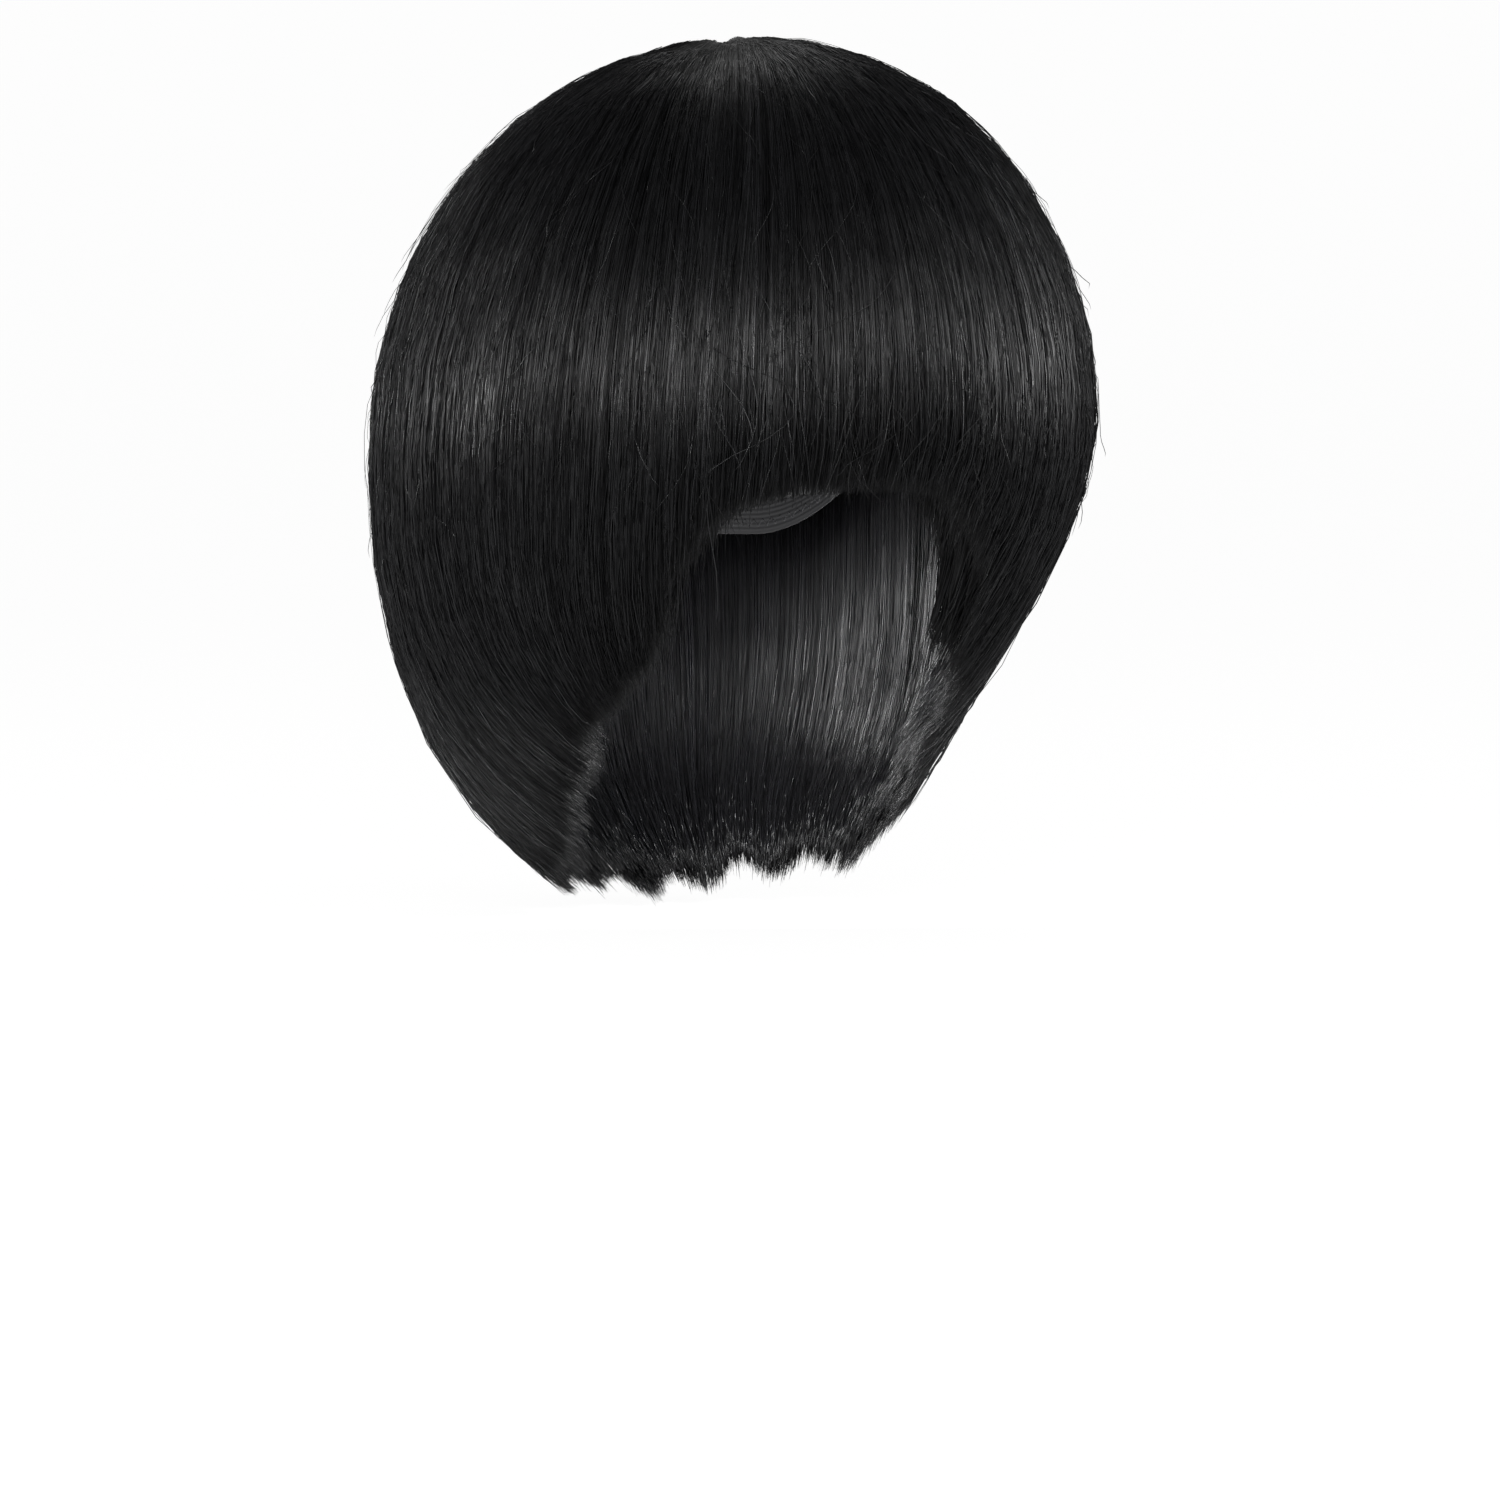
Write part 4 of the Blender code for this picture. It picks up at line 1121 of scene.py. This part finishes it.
def ribbon_mesh(name, axes, path, half_height):
    """A woven ribbon whose middle line is a path of (along, inward) points."""
    root, along, inward, upward = axes
    line = np.array(path, float)
    tangent = np.gradient(line, axis=0)
    tangent /= np.linalg.norm(tangent, axis=1, keepdims=True)
    side = np.stack((-tangent[:, 1], tangent[:, 0]), axis=1)
    across = np.linspace(-1.0, 1.0, 13)
    weave = 1 - STRAP_WEAVE + 2 * STRAP_WEAVE * checked((len(line), len(across)))
    half = 0.5 * STRAP_THICKNESS * edge_profile(across, STRAP_EDGE_SHARE)[None, :] * weave
    faces = []
    for sign in (-1.0, 1.0):
        flat = line[:, None, :] + sign * side[:, None, :] * half[..., None]
        points = root + flat[..., :1] * along + flat[..., 1:] * inward
        faces.append(points + (across * half_height)[None, :, None] * upward)
    return sheet_mesh(name, faces[0], faces[1])


def arc_path(centre, radius, start, end, steps):
    angles = np.radians(np.linspace(start, end, steps))
    return [(centre + radius * math.cos(angle), radius * math.sin(angle)) for angle in angles]


def build_strap(suffix):
    """The strap, rolled at its sewn root, runs flat from there towards the hook's bar."""
    axes = strap_axes(suffix)
    roll = arc_path(0.0, STRAP_ROLL, 335.0, 40.0, 22)
    flat = [(x, 0.0) for x in np.arange(1.5, 29.6, 0.45) * MM]
    name = f"strap_{suffix}_ribbon"
    mesh = ribbon_mesh(name, axes, roll + flat, STRAP_HALF_HEIGHT)
    mesh.materials.append(ELASTIC)
    strap = new_piece(name, mesh)
    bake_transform(strap)
    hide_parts(f"strap_{suffix}")


def build_strap_loop(suffix):
    """The sewn end of the strap, round the hook's bar."""
    there = [(x, 0.42 * MM) for x in np.linspace(28.4, 31.4, 8) * MM] + [(32.6 * MM, 0.95 * MM)]
    back = [(x, -y) for x, y in reversed(there)]
    path = there + arc_path(BAR_AT, LOOP_RADIUS, 90.0, -90.0, 16) + back
    name = f"strap_loop_{suffix}_ribbon"
    mesh = ribbon_mesh(name, strap_axes(suffix), path, LOOP_HALF_HEIGHT)
    link(name, mesh, f"strap_loop_{suffix}", ELASTIC, f"hook_{suffix}")


def build_hook(suffix):
    """The hook with its edges rounded."""
    node = f"hook_{suffix}"
    mesh = bpy.data.meshes.new(f"{node}_rounded")
    bm = bmesh.new()
    bm.from_mesh(frame["nodes"][node].data)
    bmesh.ops.remove_doubles(bm, verts=bm.verts, dist=0.001 * MM)
    bmesh.ops.dissolve_limit(bm, angle_limit=math.radians(1.0), verts=bm.verts, edges=bm.edges)
    sharp = [
        edge for edge in bm.edges if len(edge.link_faces) == 2 and edge.calc_face_angle() > math.radians(40)
    ]
    bmesh.ops.bevel(bm, geom=sharp, offset=0.13 * MM, segments=2, affect="EDGES", profile=0.6)
    bm.to_mesh(mesh)
    bm.free()
    mesh.shade_smooth()
    mesh.set_sharp_from_angle(angle=math.radians(35))
    link(f"{node}_steel", mesh, node, STEEL, node)


def build_pocket_tape(side, suffix):
    """A tape with a row of pockets: strips of cloth that bow away from it between their sewn ends."""
    start, end = sorted(side * np.array(TAPE_TURNS))
    turn = strip_turns(start, end, 0.4)
    grid = strip_grid(turn, band_top(turn) + TAPE_INSET, rim_fall(turn) - TAPE_INSET)
    parts = [(cloth_mesh(*grid, TAPE_LIFTS), ELASTIC)]
    spacing = (TAPE_TURNS[1] - TAPE_TURNS[0]) / POCKET_COUNT
    half_turn = POCKET_HALF_SHARE * spacing
    for pocket in range(POCKET_COUNT):
        middle = side * (TAPE_TURNS[0] + spacing * (pocket + 0.5))
        turn = middle + np.linspace(-half_turn, half_turn, 9)[None, :]
        share = np.linspace(0.0, 1.0, 22)[:, None]
        fall = rim_fall(middle) - 0.5 * BAND_FALL - POCKET_HALF_FALL + 2 * POCKET_HALF_FALL * share
        turn, fall, share = np.broadcast_arrays(turn, fall, share)
        bow = POCKET_LIFT + POCKET_BOW * np.sin(np.pi * share) ** POCKET_BOW_POWER
        checks = POCKET_WEAVE * checked(turn.shape)
        inside = cap_point(turn, fall, -bow - POCKET_THICKNESS - checks)
        outside = cap_point(turn, fall, -bow + checks)
        parts.append((sheet_mesh("pocket", inside, outside), ELASTIC))
    link_parts(f"pocket_tape_{suffix}", parts)


def build_cap():
    build_crown_patch()
    build_net()
    build_bands()
    build_comfort_strip()
    build_ribs()
    build_wefts()
    for side, suffix in ((1, "left"), (-1, "right")):
        build_ear_tab(side, suffix)
        build_strap(suffix)
        build_strap_loop(suffix)
        build_hook(suffix)
        build_pocket_tape(side, suffix)


# ---- studio ----

SWEEP_REACH = 4.2
SWEEP_CORNER = 1.2
SWEEP_HEIGHT = 2.6
SWEEP_COLUMNS = 96
FLOOR_GAP = 0.3 * MM
# Azimuth, elevation, distance, width, height and power.
SOFTBOXES = {
    "front_softbox": (-26.0, 10.5, 1.6, 1.8, 0.6, 14.5),
    "crown_softbox": (165.0, 54.0, 1.4, 0.7, 0.6, 1.7),
    "left_softbox": (-90.0, -5.0, 1.6, 0.5, 0.45, 16.0),
    "right_softbox": (46.0, 2.0, 1.6, 0.8, 0.6, 13.0),
}
INNER_LAMP = (-17.0, 0.0, 0.12, 0.06, 0.05, 0.21)
INNER_LAMP_TARGET = Vector((45, 70, -195)) * MM
CAMERA_AZIMUTH = -21.0
CAMERA_ELEVATION = 3.8
CAMERA_DISTANCE = 3.0
CAMERA_AIM_RIGHT = 6 * MM
CAMERA_AIM_DOWN = 95.5 * MM
HALF_VIEW = 0.2476
SENSOR_WIDTH = 36.0


def stage_material():
    """Near white to the camera, and darker to the hair, so that the hair keeps its depth."""
    material, tree, shader = new_material("pale_sweep")
    shader.inputs["Roughness"].default_value = 0.9
    shader.inputs["Specular IOR Level"].default_value = 0.1
    seen = add_node(tree, "ShaderNodeLightPath").outputs["Is Camera Ray"]
    paint(tree, shader, seen, (0.12, 0.12, 0.12), (0.16, 0.16, 0.16))
    shader.inputs["Emission Color"].default_value = (1, 1, 1, 1)
    drive(tree, shader.inputs["Emission Strength"], seen, 0.30, 0.93)
    return material


def build_sweep(floor_z):
    """A round floor that curves up into a wall on every side."""
    profile = [(0.001, 0.0), (1.0, 0.0), (2.2, 0.0)]
    for angle in np.radians(np.arange(0.0, 91.0, 7.5)):
        radius = SWEEP_REACH - SWEEP_CORNER + SWEEP_CORNER * math.sin(angle)
        profile.append((radius, SWEEP_CORNER - SWEEP_CORNER * math.cos(angle)))
    profile.append((SWEEP_REACH, SWEEP_CORNER + SWEEP_HEIGHT))
    radius, height = np.array(profile).T
    around = np.linspace(0, 2 * np.pi, SWEEP_COLUMNS, endpoint=False)[:, None]
    x, y, z = np.broadcast_arrays(radius * np.cos(around), radius * np.sin(around), floor_z + height)
    index = np.arange(x.size).reshape(x.shape)
    after = np.roll(index, -1, axis=0)
    quads = np.stack((index[:, :-1], index[:, 1:], after[:, 1:], after[:, :-1]), axis=-1).reshape(-1, 4)
    points = np.stack((x, y, z), axis=-1).reshape(-1, 3)
    mesh = mesh_of("sweep", points, [quads, index[::-1, 0][None, :]])
    mesh.materials.append(stage_material())
    new_piece("sweep", mesh)


def build_world():
    """White to the camera, and dim to everything else."""
    world = bpy.data.worlds.new("studio")
    bpy.context.scene.world = world
    world.use_nodes = True
    tree = world.node_tree
    background = tree.nodes["Background"]
    background.inputs["Color"].default_value = (1, 1, 1, 1)
    seen = add_node(tree, "ShaderNodeLightPath").outputs["Is Camera Ray"]
    drive(tree, background.inputs["Strength"], seen, 0.1, 1.0)


def look_from(piece, target, azimuth, elevation, distance):
    """Places a lamp or the camera round the target, and points it there. Azimuth 0 is in front."""
    turn, rise = math.radians(azimuth), math.radians(elevation)
    away = Vector((math.sin(turn) * math.cos(rise), -math.cos(turn) * math.cos(rise), math.sin(rise)))
    piece.location = target + away * distance
    piece.rotation_mode = "QUATERNION"
    piece.rotation_quaternion = away.to_track_quat("Z", "Y")


def add_softbox(name, target, azimuth, elevation, distance, width, height, power):
    light = bpy.data.lights.new(name, "AREA")
    light.shape = "RECTANGLE"
    light.size = width
    light.size_y = height
    light.energy = power
    lamp = new_piece(name, light)
    look_from(lamp, target, azimuth, elevation, distance)
    lamp.visible_camera = False


def build_lights():
    for name, settings in SOFTBOXES.items():
        add_softbox(name, Vector((0.0, 0.0, WIDEST_Z)), *settings)
    add_softbox("inner_lamp", INNER_LAMP_TARGET, *INNER_LAMP)


def build_camera():
    """The photograph's angle: from the wearer's right front, a little above, with a long lens."""
    data = bpy.data.cameras.new("camera")
    data.sensor_width = SENSOR_WIDTH
    data.lens = 0.5 * SENSOR_WIDTH / (HALF_VIEW / CAMERA_DISTANCE)
    camera = new_piece("camera", data)
    azimuth = math.radians(CAMERA_AZIMUTH)
    rightward = Vector((math.cos(azimuth), math.sin(azimuth), 0.0))
    aim = Vector((0.0, 0.0, 0.5 * (CAD_LOW.z + CAD_HIGH.z) - CAMERA_AIM_DOWN)) + rightward * CAMERA_AIM_RIGHT
    look_from(camera, aim, CAMERA_AZIMUTH, CAMERA_ELEVATION, CAMERA_DISTANCE)
    bpy.context.scene.camera = camera


build_top_hair()
build_row_hair()
build_cap()
MODEL_LOW, MODEL_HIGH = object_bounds()
build_sweep(MODEL_LOW.z - FLOOR_GAP)
build_world()
build_lights()
build_camera()
bpy.context.scene.view_settings.view_transform = "Standard"
